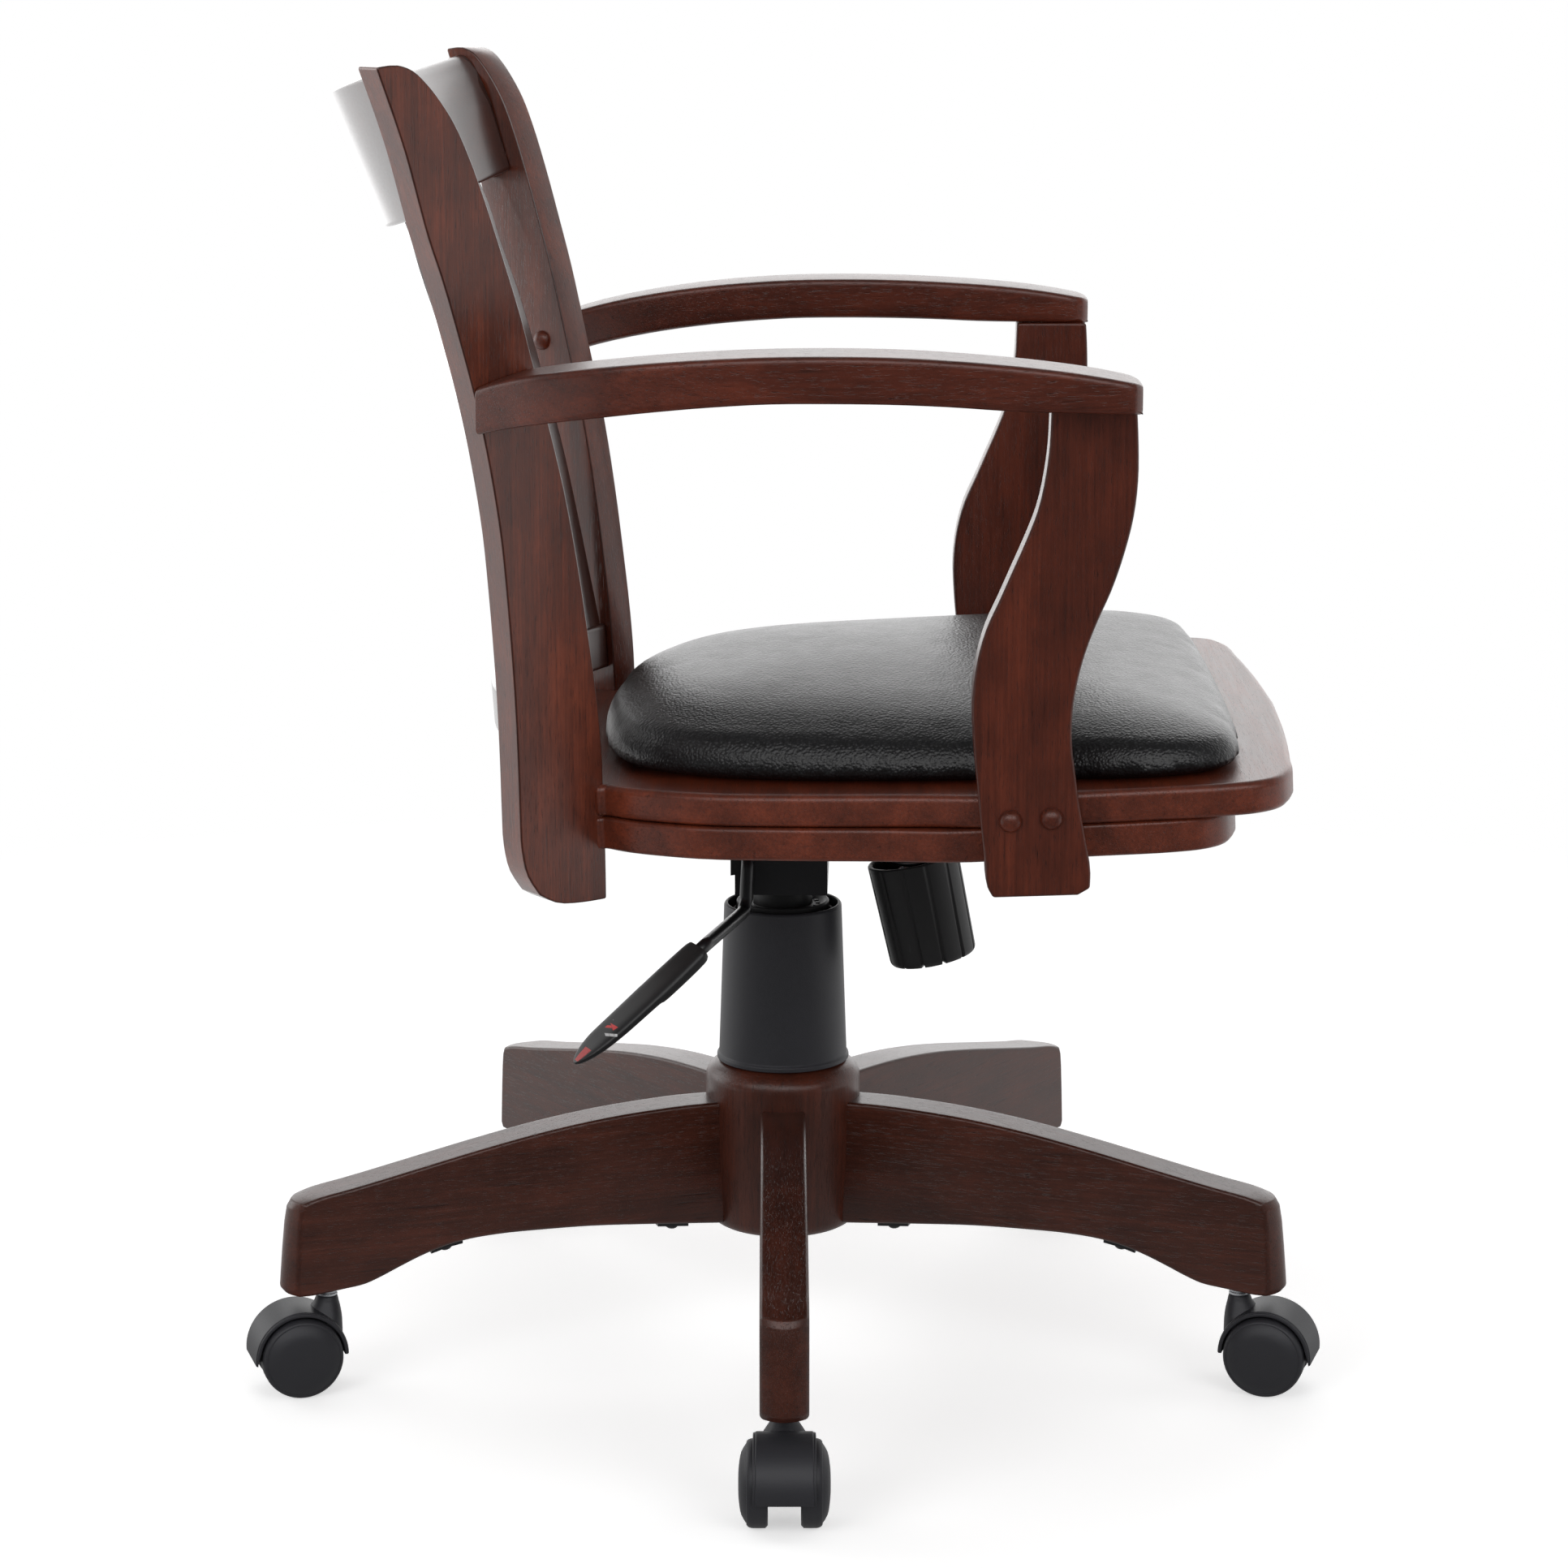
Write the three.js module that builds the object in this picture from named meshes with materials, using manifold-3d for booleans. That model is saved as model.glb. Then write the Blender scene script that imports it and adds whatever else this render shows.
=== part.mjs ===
// Bankers swivel chair: five-leg wooden base on twin-wheel casters, telescopic gas column,
// swivel-tilt mechanism with a tension knob and a lever, wooden seat with a cushion, curved back.
// Millimetres. +Z up, front is -Y. Everything is laid out about the swivel axis, then moved so
// that the origin is the middle of the footprint on the floor.
import * as THREE from 'three';
import { mergeVertices } from 'three/addons/utils/BufferGeometryUtils.js';
import Module from 'manifold-3d';

const wasm = await Module();
wasm.setup();

const DEG = Math.PI / 180;
const HALF_TURN = 180 * DEG;
const RIGHT_ANGLE = 90 * DEG;

// Shared
const fit = 0.3;            // running and seating clearance between pieces
const overrun = 60;         // how far a cutting body runs past what it cuts
const weld = 0.001;         // distance under which corners of one mesh are the same corner

// Base
const legCount = 5;
const baseTurn = 181.43;  // degrees, direction of the first leg from +X
const legWidth = 28;
const legReach = 325;       // swivel axis to the foot's outermost point
const legHeight = 162;      // floor to the top of the leg at the hub
const hubRadius = 48.8;
const hubFootRadius = 45.7;
const hubLength = 106.8;
const hubRise = 23;      // leg's top to the hub's top
const hubShoulder = 8;      // rounding of the hub's upper edge
const spiderRingWall = 6;
const spiderRingHeight = 26;
const spiderRise = 2.5;     // hub's underside to the spider's underside
const spiderArmWidth = 12;
const spiderArmHeight = 8;
const spiderArmRise = 12.8;      // hub's underside to the star's arms
const spiderArmReach = 232;
const tabWidth = 20;
const tabLength = 20;
const tabThickness = 2.2;
const innerTabRadius = 66;
const outerTabRadius = 212;

// Casters
const casterInset = 29;     // leg's tip to the stem
const casterTrail = 19.2;
const wheelDiameter = 50;
const wheelWidth = 16.7;
const wheelGap = 18.7;      // between the two wheels of a caster
const axleDiameter = 8;
const axleInset = 3;        // closed wall that hides the axle's end
const hoodWidth = 35.6;
const hoodRadius = 28.9;
const hoodFrom = -5;        // degrees round the axle, outer end of the hood
const hoodWeb = 8;          // axle to the hood's lower edge between the wheels
const bossRadius = 9.4;
const bossHeight = 16;
const hoodClear = 1.2;      // round the wheel
const stemDiameter = 11;
const stemDepth = 13;       // in the hood
const stemRise = 34;        // in the leg
const collarDiameter = 13;
const collarHeight = 8.6;
const legFootLevel = 64.2;  // underside of the foot at the stem

// Column
const tubeDiameter = 50;
const tubeWall = 2.4;
const tubeInset = 1.2;      // hub's underside to the tube's
const tubeDrop = 23.5;      // outer cover's top to the tube's
const tubeFloor = 4;
const guideLength = 92;
const cylinderDiameter = 28;
const cylinderWall = 2;
const cylinderRise = 16.6;      // tube's underside to the cylinder's
const cylinderSink = 6;      // housing's top to the cylinder's
const cylinderGuide = 16;
const cylinderCrown = 68;   // solid length at the cylinder's top
const rodDiameter = 10;
const rodInset = 0.8;      // tube's underside to the rod's
const pistonSink = 40;      // cylinder's inner top to the piston's
const pistonHeight = 12;
const bearingDiameter = 24;
const bearingHeight = 6.7;
const shoulderDiameter = 16;
const shoulderHeight = 3;
const buttonDiameter = 4;
const buttonLength = 10;
const buttonRise = 5;
const buttonTravel = 3.1;

// Telescopic cover
const coverBottomRadius = 40.3;
const coverTopRadius = 36.9;
const coverLength = 100.5;      // hub's top to the outer cover's
const coverWall = 1.8;
const coverBead = 1.3;
const coverBeadHeight = 4;
const coverLip = 2.4;
const middleRadius = 31.8;
const middleDrop = 4.5;
const middleFlange = 1.6;
const innerRadius = 29;
const sleeveWall = 1.6;
const sleeveLift = 2;       // inner sleeve's lower edge over the others'
const flangeHeight = 2.4;
const collarRise = 9;       // height of the inner sleeve's rounded crown

// Mechanism
const housingLength = 57;   // front to back
const housingWidth = 96;
const housingRise = 15.3;      // outer cover's top to the housing
const housingHeight = 41.2;
const housingWall = 2.2;
const socketWall = 2.1;
const socketDrop = 5;       // below the housing's top
const tiltY = -21;
const tiltSink = 10;      // housing's top to the tilt axle
const tiltPinDiameter = 8;
const tiltPinLength = 114;
const tiltPinHead = 3;
const springLean = 12;      // degrees, bolt and knob lean forward at the bottom
const knobY = -94.8;        // middle of the knob's underside
const knobDrop = 50.4;      // housing's underside to the knob's
const knobTopRadius = 28.8;
const knobFootRadius = 27.3;
const knobHeight = 69;
const knobWall = 3;
const knobFloor = 5;
const knobEdge = 2.5;
const knobGrooves = 12;
const grooveWidth = 2.2;
const grooveDepth = 1.1;
const lipLevel = 85.6;       // along the bolt, above the knob's underside
const lipThickness = 4;
const lipWidth = 32;
const lipFront = 17;
const lipRear = 55;
const boltHole = 16;
const boltDiameter = 8;
const springRadius = 13;    // to the middle of the wire
const springWire = 4;
const springCurls = 6;
const springSteps = 8;
const springSides = 5;
const stopLength = 14;
const stopWidth = 48;
const stopY = -45;

// Lever
const leverDiameter = 6;
const leverY = 20;
const leverSink = 14;      // housing's top to the lever's pivot
const leverInner = 16;
const leverDrop = 26.5;      // from its pivot line to the outboard run
const leverBend = 7;
const leverStraight = 2;    // of the rod before it enters the paddle
const leverOut = 61;        // swivel axis to the dropping run
const leverSweep = 23.9;    // how far back the outboard run goes
const leverEnd = 187;
const tabReach = 24;        // from the lever's pivot line forward over the valve
const tabPlate = 2.2;
const bushDiameter = 9.8;
const bushLength = 12;
const bushX = -21;
const paddleLength = 99;
const paddleWidth = 24.5;
const paddleThickness = 8.4;
const paddleEdge = 1.2;
const paddleGrip = 12;      // length of the rod inside the paddle

// Seat
const seatPitch = 3.1;      // degrees, front higher
const seatRise = 57.4;      // housing's top to the top of the seat board, over the swivel axis
const seatHalfWidth = 245.5;
const seatFront = 304.5;
const seatRear = 170;
const boardThickness = 19;
const underThickness = 19.5;
const underInset = 3.5;
const underSetback = 34;
const padMargin = 15.5;     // seat's side to the cushion's widest point
const padFront = 270.5;
const padRear = 110;
const padEdgeHeight = 25;
const padCrown = 47;
const padBulge = 2.5;
const padTuck = 7;
const padShoulder = 26;
const plateThickness = 3;
const plateLength = 190;
const plateWidth = 150;
const plateCorner = 14;
const earThickness = 3;
const earFront = 28;
const earRear = 31;
const earDropFront = 11;      // tilt axle to the ear's lower edge
const earDropRear = 18;
const earSlotHeight = 17;
const earSlotWidth = 9.2;

// Back
const postYaw = 37.34;      // degrees, how far each post is turned from the seat's side
const postTuck = 130.385;     // seat's side to the post's outer face, square to the post
const postStart = 26.094;     // seat's side to the post's front edge, along the post
const postThickness = 21;
const postSweep = 144;
const postDrop = 74.7;      // seat board's top to the post's foot
const postHeight = 483.3;
const crestRadius = 477;
const crestLean = 22;       // degrees
const crestHeight = 85;
const crestThickness = 20;
const crestY = 220.6;
const crestRise = 315.1;      // seat board's top to the crest rail
const crestDrop = 5;        // upper edge falls this much to each end
const railRadius = 283;
const railLean = 4;         // degrees
const railHeight = 29;
const railThickness = 20;
const railY = 158;
const railRise = 6.1;
const slatCount = 5;
const slatMargin = 118.5;   // seat's side to the middle of the outermost slat
const slatWidth = 34;
const slatThickness = 8;
const slatSeat = 20.5;       // lower rail's underside to the slats' lower ends
const slatTenon = 7.5;      // crest rail's front edge to the slats' upper ends
const slatY = 166.5;
const slatSweep = 59.5;

// Arms
const armLength = 400;
const armFront = 200;
const armOverhang = 54.5;   // seat's side to the arm's outermost line
const armWidth = 55;
const armLift = 256.2;      // seat board's top to the arm's
const armRise = 40;
const armPostThickness = 25.5;
const armPostSink = 15.6;
const armPostDrop = 45.9;
const armPostFoot = 110.4;  // swivel axis to the arm post's rearmost point
const armPostDepth = 89;

// Levels over the floor, each from what carries it
const hubTop = legHeight + hubRise;
const hubBottom = hubTop - hubLength;
const spiderArmLevel = hubBottom + spiderArmRise;
const tubeBottom = hubBottom + tubeInset;
const coverTop = hubTop + coverLength;
const middleTop = coverTop - middleDrop;
const tubeTop = coverTop - tubeDrop;
const housingBottom = coverTop + housingRise;
const housingTop = housingBottom + housingHeight;
const cylinderBottom = tubeBottom + cylinderRise;
const cylinderTop = housingTop - cylinderSink;
const rodBottom = tubeBottom + rodInset;
const pistonTop = cylinderTop - cylinderCrown - pistonSink;
const tiltZ = housingTop - tiltSink;
const knobZ = housingBottom - knobDrop;
const leverZ = housingTop - leverSink;
const seatLevel = housingTop + seatRise;
const earBottomFront = tiltZ - earDropFront;
const earBottomRear = tiltZ - earDropRear;
const postBottom = seatLevel - postDrop;
const crestZ = seatLevel + crestRise;
const railZ = seatLevel + railRise;
const slatBottom = railZ + slatSeat;
const slatLength = crestZ + slatTenon - slatBottom;
const armTop = seatLevel + armLift;
const armPostTop = armTop - armPostSink;
const armPostBottom = seatLevel - armPostDrop;

// Outlines, as shares of the sizes named beside each
// leg, [of legReach, of legHeight]
const legShares = [
  [0.13, 0.999], [0.205, 1], [0.264, 0.995], [0.36, 0.981], [0.487, 0.948], [0.614, 0.901],
  [0.741, 0.847], [0.865, 0.795], [0.946, 0.765], [0.974, 0.75], [0.983, 0.722], [1, 0.426],
  [0.986, 0.398], [0.955, 0.397], [0.884, 0.405], [0.843, 0.415], [0.812, 0.437], [0.778, 0.467],
  [0.726, 0.509], [0.682, 0.535], [0.642, 0.549], [0.589, 0.557], [0.496, 0.557], [0.403, 0.552],
  [0.273, 0.533], [0.13, 0.509]];
const legUnderShares = legShares.slice(14);
// wheel from the inner edge out, [of half of wheelDiameter, of wheelWidth]
const wheelShares = [[0.94, 0], [1, 0.09], [1, 0.5], [0.95, 0.7], [0.7, 0.9], [0, 1]];
// caster boss from its foot, [of bossHeight, of bossRadius along the leg, across it]
const bossShares = [[0, 1, 1.28], [0.63, 0.81, 1.14], [1, 0.68, 0.73]];
// lever paddle from the root, [of paddleLength, of paddleWidth, of paddleThickness]
const paddleShares = [
  [0, 0.8, 0.8], [0.03, 1, 1], [0.3, 1, 1], [0.38, 0.99, 0.6], [0.74, 0.97, 0.5],
  [0.88, 0.72, 0.45], [0.96, 0.42, 0.35], [1, 0.12, 0.25]];
// back post, [of postSweep, of postHeight]
const postShares = [
  [0, 0.006], [0.002, 0.059], [0.009, 0.114], [0.017, 0.187], [0.035, 0.243], [0.076, 0.33],
  [0.123, 0.417], [0.181, 0.503], [0.252, 0.584], [0.311, 0.646], [0.372, 0.71], [0.444, 0.774],
  [0.528, 0.845], [0.604, 0.901], [0.66, 0.934], [0.719, 0.959], [0.778, 0.979], [0.84, 0.994],
  [0.903, 1], [0.986, 0.999], [1, 0.994], [0.924, 0.944], [0.868, 0.902], [0.819, 0.854],
  [0.771, 0.806], [0.715, 0.76], [0.632, 0.679], [0.594, 0.638], [0.545, 0.576], [0.507, 0.514],
  [0.479, 0.452], [0.458, 0.39], [0.441, 0.328], [0.426, 0.261], [0.414, 0.168], [0.41, 0.116],
  [0.403, 0.075], [0.375, 0.042], [0.319, 0.017], [0.243, 0.005], [0.118, 0], [0.014, 0.001]];
// front arm post, [of armPostDepth, of armPostTop - armPostBottom]
const armPostShares = [
  [0.466, 1], [0.455, 0.882], [0.435, 0.827], [0.388, 0.757], [0.317, 0.698], [0.23, 0.635],
  [0.164, 0.587], [0.079, 0.527], [0.026, 0.466], [0, 0.396], [0.009, 0.304], [0.035, 0.218],
  [0.06, 0.141], [0.084, 0.08], [0.105, 0.02], [0.14, 0], [0.67, 0.006], [0.745, 0.02],
  [0.747, 0.05], [0.712, 0.117], [0.675, 0.178], [0.643, 0.245], [0.619, 0.305], [0.62, 0.366],
  [0.648, 0.427], [0.694, 0.483], [0.77, 0.547], [0.846, 0.602], [0.928, 0.681], [0.976, 0.746],
  [0.999, 0.814], [0.998, 0.882], [0.98, 1]];
// half of the seat board in plan, [of seatHalfWidth, of seatFront + seatRear]
const boardShares = [
  [0, 1], [0.391, 0.994], [0.672, 0.985], [0.864, 0.975], [0.945, 0.957], [0.982, 0.929],
  [0.996, 0.896], [1, 0.797], [1, 0.719], [0.995, 0.603], [0.96, 0.537], [0.892, 0.384],
  [0.829, 0.274], [0.774, 0.219], [0.721, 0.177], [0.664, 0.145], [0.74, 0.06], [0.69, 0.038],
  [0.367, 0.011], [0, 0]];
// half of the cushion in plan, [of padHalfWidth, of padFront + padRear]
const padShares = [
  [0, 1], [0.25, 0.999], [0.478, 0.997], [0.7, 0.992], [0.826, 0.984], [0.905, 0.97],
  [0.96, 0.943], [0.99, 0.905], [1, 0.86], [0.99, 0.8], [0.965, 0.73], [0.936, 0.62],
  [0.904, 0.512], [0.868, 0.41], [0.83, 0.316], [0.761, 0.196], [0.678, 0.115], [0.565, 0.057],
  [0.409, 0.023], [0.2, 0.005], [0, 0]];
// cushion rings from the underside to the crown: [inset, height, share of the way to the middle]
const padRingShares = [
  [1, 0, 0], [0.3, 0.1, 0], [-1, 0.42, 0], [-0.55, 0.75, 0], [0.35, 0.93, 0], [1, 1, 0.04],
  [1, 1, 0.14], [1, 1, 0.32], [1, 1, 0.56], [1, 1, 0.8]];
const padCrownShares = [0, 0, 0, 0, 0, 0.16, 0.4, 0.68, 0.88, 0.98];
// how much higher the cushion is at the rear than at the front
const padLeanShare = 0.4;
// arm from the nose back: [of armLength from the front, outer line of armReach, width of
// armWidth, top below armTop of armRise, thickness of armRise]
const armShares = [
  [0, 0.955, 0.42, 0.4, 0.36], [0.006, 0.982, 0.76, 0.35, 0.41], [0.025, 0.998, 0.95, 0.3, 0.445],
  [0.055, 1, 1, 0.245, 0.49], [0.107, 0.997, 1, 0.17, 0.56], [0.185, 0.987, 1, 0.093, 0.62],
  [0.265, 0.975, 1, 0.04, 0.632], [0.343, 0.968, 1, 0.008, 0.642], [0.422, 0.965, 1, 0, 0.645],
  [0.5, 0.96, 1, 0.013, 0.642], [0.578, 0.948, 1, 0.053, 0.655], [0.657, 0.925, 0.98, 0.12, 0.675],
  [0.735, 0.885, 0.94, 0.215, 0.695], [0.815, 0.82, 0.91, 0.35, 0.7],
  [0.875, 0.753, 0.9, 0.5, 0.685], [0.92, 0.7, 0.9, 0.655, 0.66], [1, 0.6, 0.9, 0.9, 0.62]];
// most that the arm's inner edge takes, of armRise
const armThinShare = 0.645;
// front face of the middle slat, [of slatLength, of slatSweep]
const slatShares = [
  [0, 0], [0.054, 0.025], [0.189, 0.1], [0.324, 0.185], [0.443, 0.277], [0.561, 0.403],
  [0.645, 0.496], [0.774, 0.655], [0.885, 0.824], [0.956, 0.916], [1, 1]];

// Meshes and solids

function tidy(geometry) {
  const g = geometry.clone();
  g.deleteAttribute('normal');
  g.deleteAttribute('uv');
  const merged = mergeVertices(g, weld);
  const p = merged.attributes.position.array;
  const kept = [];
  const index = merged.index.array;
  for (let i = 0; i < index.length; i += 3) {
    const [a, b, c] = [index[i], index[i + 1], index[i + 2]];
    if (a !== b && b !== c && c !== a) kept.push(a, b, c);
  }
  let volume = 0;
  const at = (k) => new THREE.Vector3(p[3 * k], p[3 * k + 1], p[3 * k + 2]);
  for (let i = 0; i < kept.length; i += 3) {
    volume += at(kept[i]).dot(at(kept[i + 1]).cross(at(kept[i + 2])));
  }
  if (volume < 0) {
    for (let i = 0; i < kept.length; i += 3) [kept[i], kept[i + 1]] = [kept[i + 1], kept[i]];
  }
  return { vertices: new Float32Array(p), triangles: new Uint32Array(kept) };
}

function solid(geometry) {
  const { vertices, triangles } = tidy(geometry);
  return new wasm.Manifold(new wasm.Mesh({
    numProp: 3, vertProperties: vertices, triVerts: triangles }));
}

function surface(manifold) {
  const mesh = manifold.getMesh();
  const g = new THREE.BufferGeometry();
  g.setAttribute('position', new THREE.BufferAttribute(new Float32Array(mesh.vertProperties), 3));
  g.setIndex(new THREE.BufferAttribute(new Uint32Array(mesh.triVerts), 1));
  g.computeVertexNormals();
  return g;
}

function join(first, ...more) {
  return more.reduce((whole, piece) => whole.add(piece), first);
}

function cut(first, ...tools) {
  return tools.reduce((whole, tool) => whole.subtract(tool), first);
}

function vectors(points) {
  return points.map(([x, y]) => new THREE.Vector2(x, y));
}

// Outline in X and Y, standing on z = 0.
function slab(points, height) {
  return new THREE.ExtrudeGeometry(new THREE.Shape(vectors(points)), {
    depth: height, bevelEnabled: false, steps: 1 });
}

// Outline in a vertical plane, [along X, along Z], as wide as given and centred across Y.
function upright(points, width) {
  return slab(points, width).translate(0, 0, -width / 2).rotateX(RIGHT_ANGLE);
}

function turned(points, sides) {
  return new THREE.LatheGeometry(vectors(points), sides).rotateX(RIGHT_ANGLE);
}

function ring(inner, outer, low, high, sides) {
  return turned([[inner, low], [outer, low], [outer, high], [inner, high], [inner, low]], sides);
}

function disc(radius, low, high, sides) {
  return turned([[0, low], [radius, low], [radius, high], [0, high]], sides);
}

function block(low, high) {
  const size = high.map((value, i) => value - low[i]);
  return new THREE.BoxGeometry(...size)
    .translate(...high.map((value, i) => (value + low[i]) / 2));
}

// Bar along X between two ends.
function bar(radius, x0, x1, y, z, sides) {
  return new THREE.CylinderGeometry(radius, radius, x1 - x0, sides)
    .rotateZ(RIGHT_ANGLE).translate((x0 + x1) / 2, y, z);
}

function mirrored(geometry) {
  const g = geometry.clone().scale(-1, 1, 1);
  const index = g.index.array;
  for (let i = 0; i < index.length; i += 3) [index[i], index[i + 1]] = [index[i + 1], index[i]];
  g.computeVertexNormals();
  return g;
}

// Closed skin over rings of equally many points, with flat ends.
function skin(rings) {
  const n = rings[0].length;
  const points = rings.flat();
  const first = points.length;
  const middle = (r) => r.reduce((sum, p) => sum.add(p), new THREE.Vector3()).divideScalar(n);
  points.push(middle(rings[0]), middle(rings[rings.length - 1]));
  const index = [];
  for (let k = 0; k + 1 < rings.length; k++) {
    for (let i = 0; i < n; i++) {
      const [a, b] = [k * n + i, k * n + (i + 1) % n];
      index.push(a, b, b + n, a, b + n, a + n);
    }
  }
  const last = (rings.length - 1) * n;
  for (let i = 0; i < n; i++) {
    const j = (i + 1) % n;
    index.push(first, j, i, first + 1, last + i, last + j);
  }
  const g = new THREE.BufferGeometry().setFromPoints(points);
  g.setIndex(index);
  return g;
}

function shareValue(shares, at) {
  const k = Math.max(1, shares.findIndex(([share]) => share >= at));
  const [[a, low], [b, high]] = [shares[k - 1], shares[k]];
  return low + (high - low) * (at - a) / (b - a);
}

const black = { color: 0x2b2c2e, roughness: 0.55, metalness: 0 };
const paint = { color: 0x1c1d1f, roughness: 0.4, metalness: 0.6 };
const steel = { color: 0xb9bcc0, roughness: 0.25, metalness: 1 };
const wood = { color: 0x4f281b, roughness: 0.38, metalness: 0 };
const woodDark = { color: 0x38201a, roughness: 0.36, metalness: 0 };
const vinyl = { color: 0x17171a, roughness: 0.42, metalness: 0 };

const chair = new THREE.Group();

function add(group, name, geometry, look) {
  const mesh = new THREE.Mesh(geometry, new THREE.MeshStandardMaterial(look));
  mesh.name = name;
  group.add(mesh);
}

// Base: hub, spider and legs

const base = new THREE.Group();
base.rotation.z = baseTurn * DEG;
chair.add(base);

const casterRadius = legReach - casterInset;
const tubeRadius = tubeDiameter / 2;
const spiderBottom = hubBottom + spiderRise;
const spiderTop = spiderBottom + spiderRingHeight;
const spiderRingRadius = tubeRadius + fit + spiderRingWall;
const legSides = legShares.map(([r, z]) => [r * legReach, z * legHeight]);
const underside = (r) => {
  const rising = [...legUnderShares].reverse();
  return legHeight * shareValue(rising, r / legReach);
};

const around = (make) => {
  const pieces = [];
  for (let k = 0; k < legCount; k++) {
    pieces.push(solid(make().rotateZ(2 * HALF_TURN * k / legCount)));
  }
  return pieces;
};

const armSlot = (grow) => block(
  [tubeRadius + spiderRingWall / 2, -spiderArmWidth / 2 - grow, spiderArmLevel - grow],
  [spiderArmReach + grow, spiderArmWidth / 2 + grow, spiderArmLevel + spiderArmHeight + grow]);

const hubSides = [[hubFootRadius, hubBottom], [hubRadius, legHeight],
  [hubRadius, hubTop - hubShoulder], [hubRadius - hubShoulder * (1 - Math.SQRT1_2),
    hubTop - hubShoulder * (1 - Math.SQRT1_2)], [hubRadius - hubShoulder, hubTop]];
const hubSolid = (grow) => solid(turned([
  [0, hubBottom - grow], ...hubSides.map(([r, z], i) => [
    r + grow, i === 0 ? z - grow : i === hubSides.length - 1 ? z + grow : z]),
  [0, hubTop + grow]], 36));
const hub = cut(hubSolid(0),
  solid(disc(tubeRadius + fit, hubBottom - overrun, hubTop + overrun, 36)),
  solid(disc(spiderRingRadius + fit, hubBottom - overrun, spiderTop + fit, 36)),
  ...around(() => armSlot(fit)));
add(base, 'hub_shell', surface(hub), wood);

// Screw tab that lies under the leg and reaches up to the spider's arm through the groove.
const tab = (from) => {
  const steps = [0, 0.5, 1].map((share) => from + share * tabLength);
  const plate = [...steps.map((r) => [r, underside(r) - fit]),
    ...steps.reverse().map((r) => [r, underside(r) - fit - tabThickness])];
  const neck = [...plate.slice(3), ...[from, from + tabLength].map((r) => [
    r, spiderArmLevel + spiderArmHeight / 2])];
  return [upright(plate, tabWidth), upright(neck, spiderArmWidth)];
};
const armSolids = [];
for (const from of [innerTabRadius, outerTabRadius]) {
  for (const k of [0, 1]) armSolids.push(...around(() => tab(from)[k]));
}
const spider = join(
  solid(ring(tubeRadius + fit, spiderRingRadius, spiderBottom, spiderTop, 36)),
  ...around(() => armSlot(0)), ...armSolids);
add(base, 'base_spider', surface(spider), paint);

const stemRadius = stemDiameter / 2;
const stemHole = () => disc(stemRadius + fit, legFootLevel - overrun,
  legFootLevel + stemRise + fit, 16).translate(casterRadius, 0, 0);
const tipPlan = [[0, -legWidth / 2]];
for (let k = 0; k <= 12; k++) {
  const a = (k / 12 - 0.5) * HALF_TURN;
  tipPlan.push([legReach + (Math.cos(a) - 1) * legWidth / 2, Math.sin(a) * legWidth / 2]);
}
tipPlan.push([0, legWidth / 2]);
const groove = block([0, -spiderArmWidth / 2 - fit, 0],
  [spiderArmReach + fit, spiderArmWidth / 2 + fit, spiderArmLevel + spiderArmHeight + fit]);
const legSolid = cut(
  solid(upright(legSides, legWidth)).intersect(solid(slab(tipPlan, 2 * legHeight))),
  hubSolid(fit), solid(groove), solid(stemHole()));
const leg = surface(legSolid);

// Casters

const stemTurn = legFootLevel - fit - collarHeight;   // top of the hood's boss
const wheelRadius = wheelDiameter / 2;
const webHalf = wheelGap / 2 - 2 * fit;
const axleRadius = axleDiameter / 2;
const axleHalf = wheelGap / 2 + wheelWidth - axleInset - fit;
const bossTop = stemTurn - fit;
const hoodSolid = () => {
  const arc = Array.from({ length: 17 }, (_, i) => {
    const a = (hoodFrom + (180 - hoodFrom) * i / 16) * DEG;
    return [hoodRadius * Math.cos(a), hoodRadius * Math.sin(a)];
  });
  const outline = [...arc, [-wheelRadius, -hoodWeb / 2], [0, -hoodWeb]]
    .map(([x, z]) => [casterTrail + x, wheelRadius + z]);
  const well = (side) => {
    const [near, far] = [webHalf, webHalf + overrun];
    return new THREE.CylinderGeometry(wheelRadius + hoodClear, wheelRadius + hoodClear,
      far - near, 28).translate(casterTrail, side * (near + far) / 2, wheelRadius);
  };
  const boss = skin(bossShares.map(([height, long, wide]) => Array.from({ length: 14 }, (_, i) => {
    const a = 2 * HALF_TURN * i / 14;
    return new THREE.Vector3(long * bossRadius * Math.cos(a), wide * bossRadius * Math.sin(a),
      bossTop - (1 - height) * bossHeight);
  })));
  const body = cut(join(solid(upright(outline, hoodWidth)), solid(boss)),
    solid(well(1)), solid(well(-1)));
  const axle = new THREE.CylinderGeometry(axleRadius, axleRadius, 2 * axleHalf, 10)
    .translate(casterTrail, 0, wheelRadius);
  return cut(join(body, solid(axle)),
    solid(disc(stemRadius + fit, stemTurn - stemDepth - fit, stemTurn + overrun, 12)));
};
const hood = surface(hoodSolid());

const stem = surface(solid(turned([
  [0, stemTurn - stemDepth], [stemRadius, stemTurn - stemDepth], [stemRadius, stemTurn],
  [collarDiameter / 2, stemTurn], [collarDiameter / 2, stemTurn + collarHeight],
  [stemRadius, stemTurn + collarHeight], [stemRadius, legFootLevel + stemRise],
  [0, legFootLevel + stemRise]], 16)));

const wheelSolid = solid(turned([
  [0, wheelWidth - axleInset], [axleRadius + fit, wheelWidth - axleInset], [axleRadius + fit, 0],
  ...wheelShares.map(([r, l]) => [r * wheelRadius, l * wheelWidth])], 24));
const wheel = surface(wheelSolid);

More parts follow.
